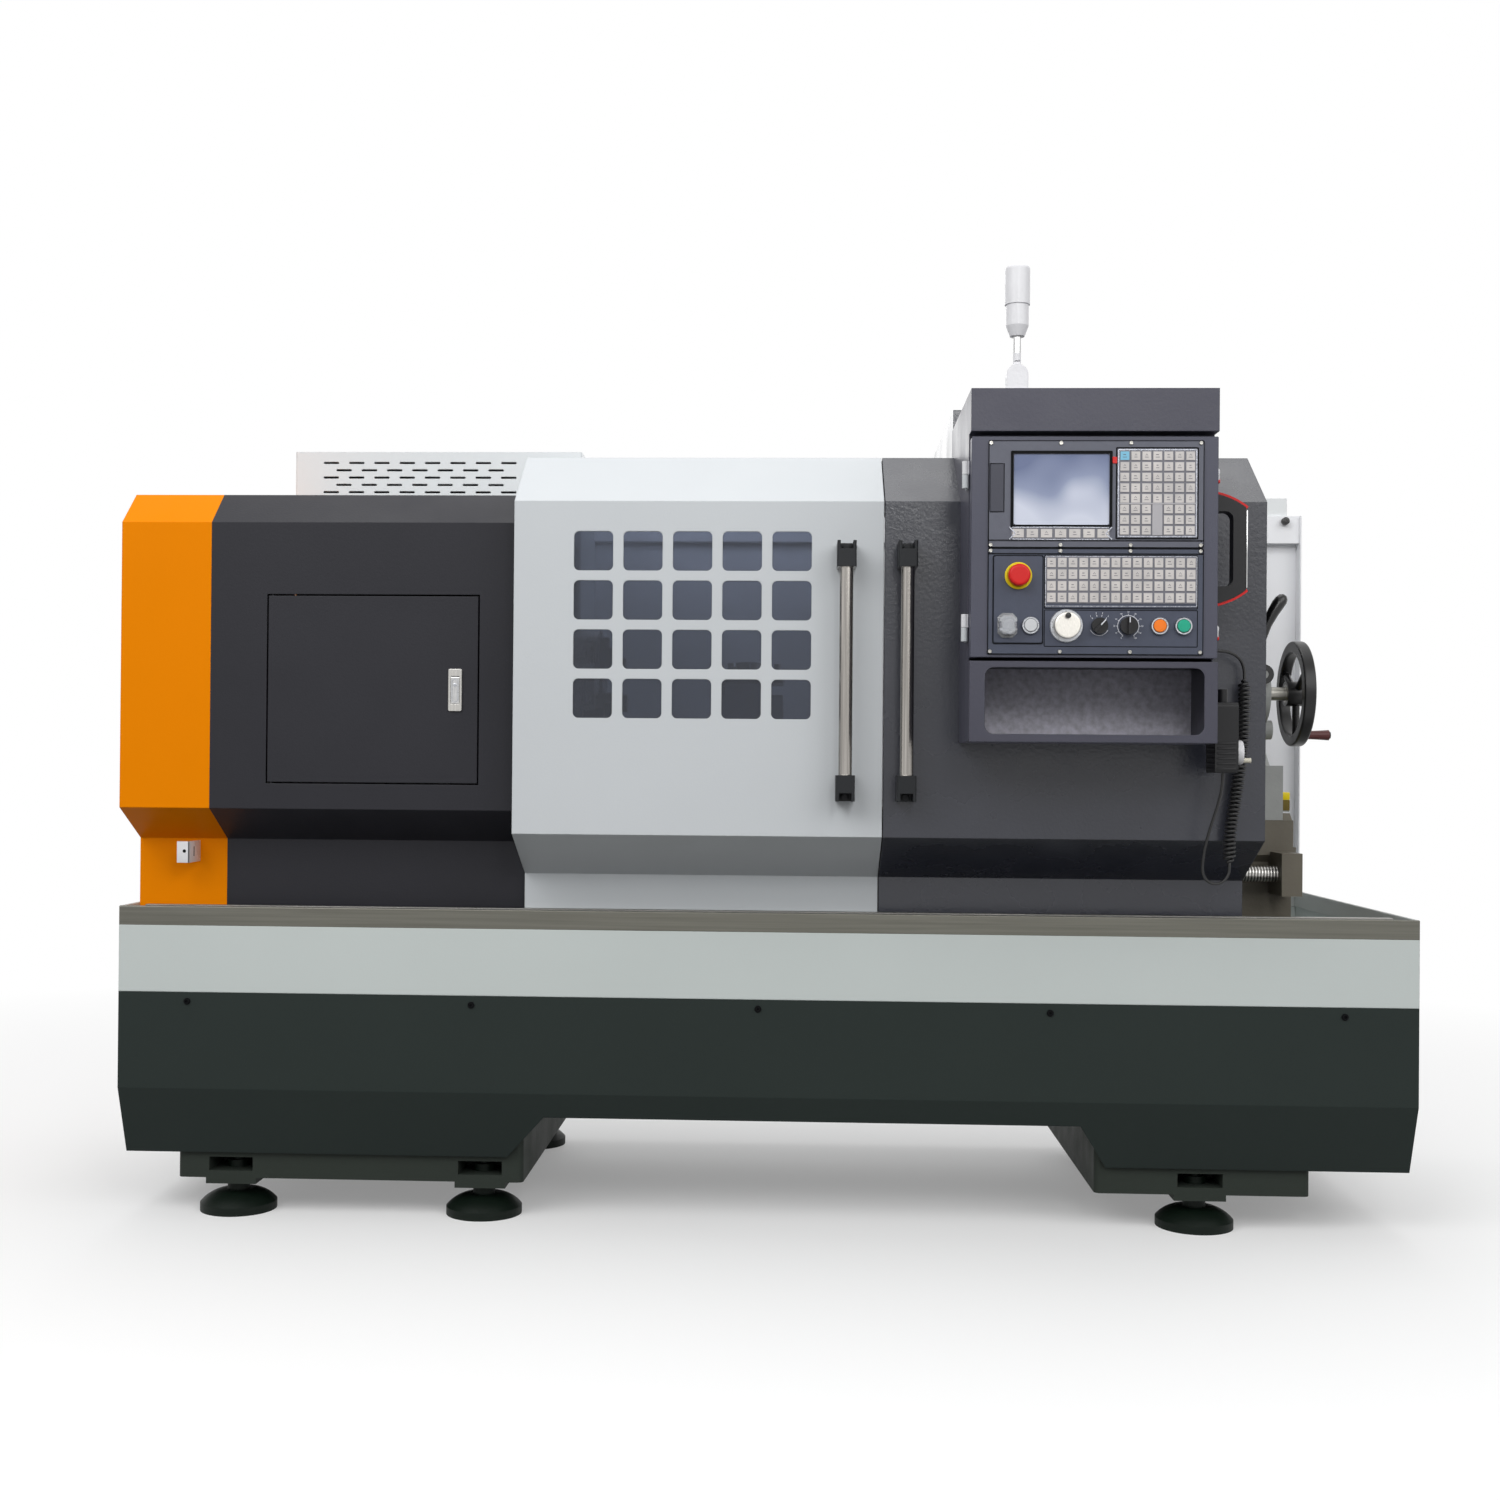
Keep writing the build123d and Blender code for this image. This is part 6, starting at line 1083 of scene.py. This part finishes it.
for handle_x in about(cabinet_middle, HANDLE_OFFSET):
    outer = rounded(about(handle_x, 11.0), HANDLE_Z, 6.0)
    raised = rounded(about(handle_x, 9.5), around(HANDLE_Z, -1.5), 5.0)
    layers = ((outer, -0.5), (outer, 2.5), (raised, 4.0))
    skin([front(loop, cabinet_rear + rise) for loop, rise in layers])
    turned((handle_x, HANDLE_Z[1] - 20.0), cabinet_rear, LOCK, way=1, count=18)
piece("cabinet_locks", "screw", "frame")

# Camera at the photograph's place

camera_data = bpy.data.cameras.new("camera")
camera_data.lens = 42.0
camera_data.sensor_width = 36.0
camera_data.shift_x = 0.01467
camera_data.shift_y = 0.00667
camera_data.clip_end = 60.0
camera = bpy.data.objects.new("camera", camera_data)
camera_right = Vector((0.99912, 0.04111, 0.00822))
camera_up = Vector((-0.00799, -0.00571, 0.99995))
camera_back = Vector((0.04115, -0.99914, -0.00538))
camera_matrix = Matrix((camera_right, camera_up, camera_back)).transposed().to_4x4()
camera_matrix.translation = Vector((0.0752, -3.6472, 0.888))
camera.matrix_world = camera_matrix
scene.collection.objects.link(camera)
scene.camera = camera

# Floor and background: pale to the eye, darker as a source of light

FLOOR_RADIUS = 26.0
FLOOR_FADE = (1.5, 4.2)


def to_the_eye(tree):
    """1 for rays from the camera, straight or by way of metal or glass, and 0 for light."""
    rays = node(tree, "LightPath", {}).outputs
    seen = maths(tree, "MAXIMUM", rays["Is Camera Ray"], rays["Is Glossy Ray"])
    return maths(tree, "MAXIMUM", seen, rays["Is Transmission Ray"])


def floor_look():
    """A matt floor that keeps the shadow and fades into the white background."""
    made, tree = material("pale_floor")
    shader = tree.nodes["Principled BSDF"]
    seen = to_the_eye(tree)
    grey = mixed(tree, seen, (0.22, 0.22, 0.22, 1.0), (0.92, 0.92, 0.92, 1.0))
    fill(tree, shader, {"Base Color": grey, "Roughness": 0.75, "Specular IOR Level": 0.2})
    glow = node(tree, "Emission", {"Strength": spread(tree, seen, 0.14, 1.0, 0.0, 1.0)})
    far = node(tree, "VectorMath", {0: own_place(tree)}, operation="LENGTH").outputs["Value"]
    fade = spread(tree, far, 0.25, 1.0, *FLOOR_FADE)
    blend = node(tree, "MixShader", {0: fade, 1: shader.outputs["BSDF"], 2: glow.outputs["Emission"]})
    fill(tree, tree.nodes["Material Output"], {"Surface": blend.outputs["Shader"]})
    return made


floor_mesh = bpy.data.meshes.new("floor")
disc = bmesh.new()
bmesh.ops.create_circle(disc, cap_ends=True, segments=96, radius=FLOOR_RADIUS)
disc.to_mesh(floor_mesh)
disc.free()
floor_mesh.materials.append(floor_look())
floor = bpy.data.objects.new("floor", floor_mesh)
scene.collection.objects.link(floor)

world = bpy.data.worlds.new("studio")
scene.world = world
world.use_nodes = True
sky = world.node_tree
sky_light = spread(sky, to_the_eye(sky), 0.55, 1.0, 0.0, 1.0)
fill(sky, sky.nodes["Background"], {"Color": (1.0, 1.0, 1.0, 1.0), "Strength": sky_light})

# Lamps


def lamp(name, place, target, size, power):
    """A soft rectangular lamp aimed at a point."""
    data = bpy.data.lights.new(name, "AREA")
    data.shape = "RECTANGLE"
    data.size, data.size_y = size
    data.energy = power
    made = bpy.data.objects.new(name, data)
    made.location = place
    made.rotation_euler = (Vector(target) - Vector(place)).to_track_quat("-Z", "Y").to_euler()
    scene.collection.objects.link(made)


lamp("key_light", (-2.5, -3.9, 4.1), target=(0.0, 0.0, 0.9), size=(4.0, 3.0), power=131.0)
lamp("fill_light", (3.2, -3.5, 3.3), target=(0.2, 0.0, 0.9), size=(4.0, 3.0), power=75.0)
lamp("top_light", (0.0, 0.4, 4.6), target=(0.0, 0.0, 0.8), size=(4.0, 2.5), power=44.0)
lamp("front_light", (0.75, -4.0, 2.6), target=(0.33, -0.39, 1.2), size=(0.6, 0.9), power=20.0)
lamp("back_light", (0.0, 4.5, 3.0), target=(0.0, 0.0, 0.9), size=(4.0, 2.0), power=40.0)

scene.view_settings.view_transform = "Standard"
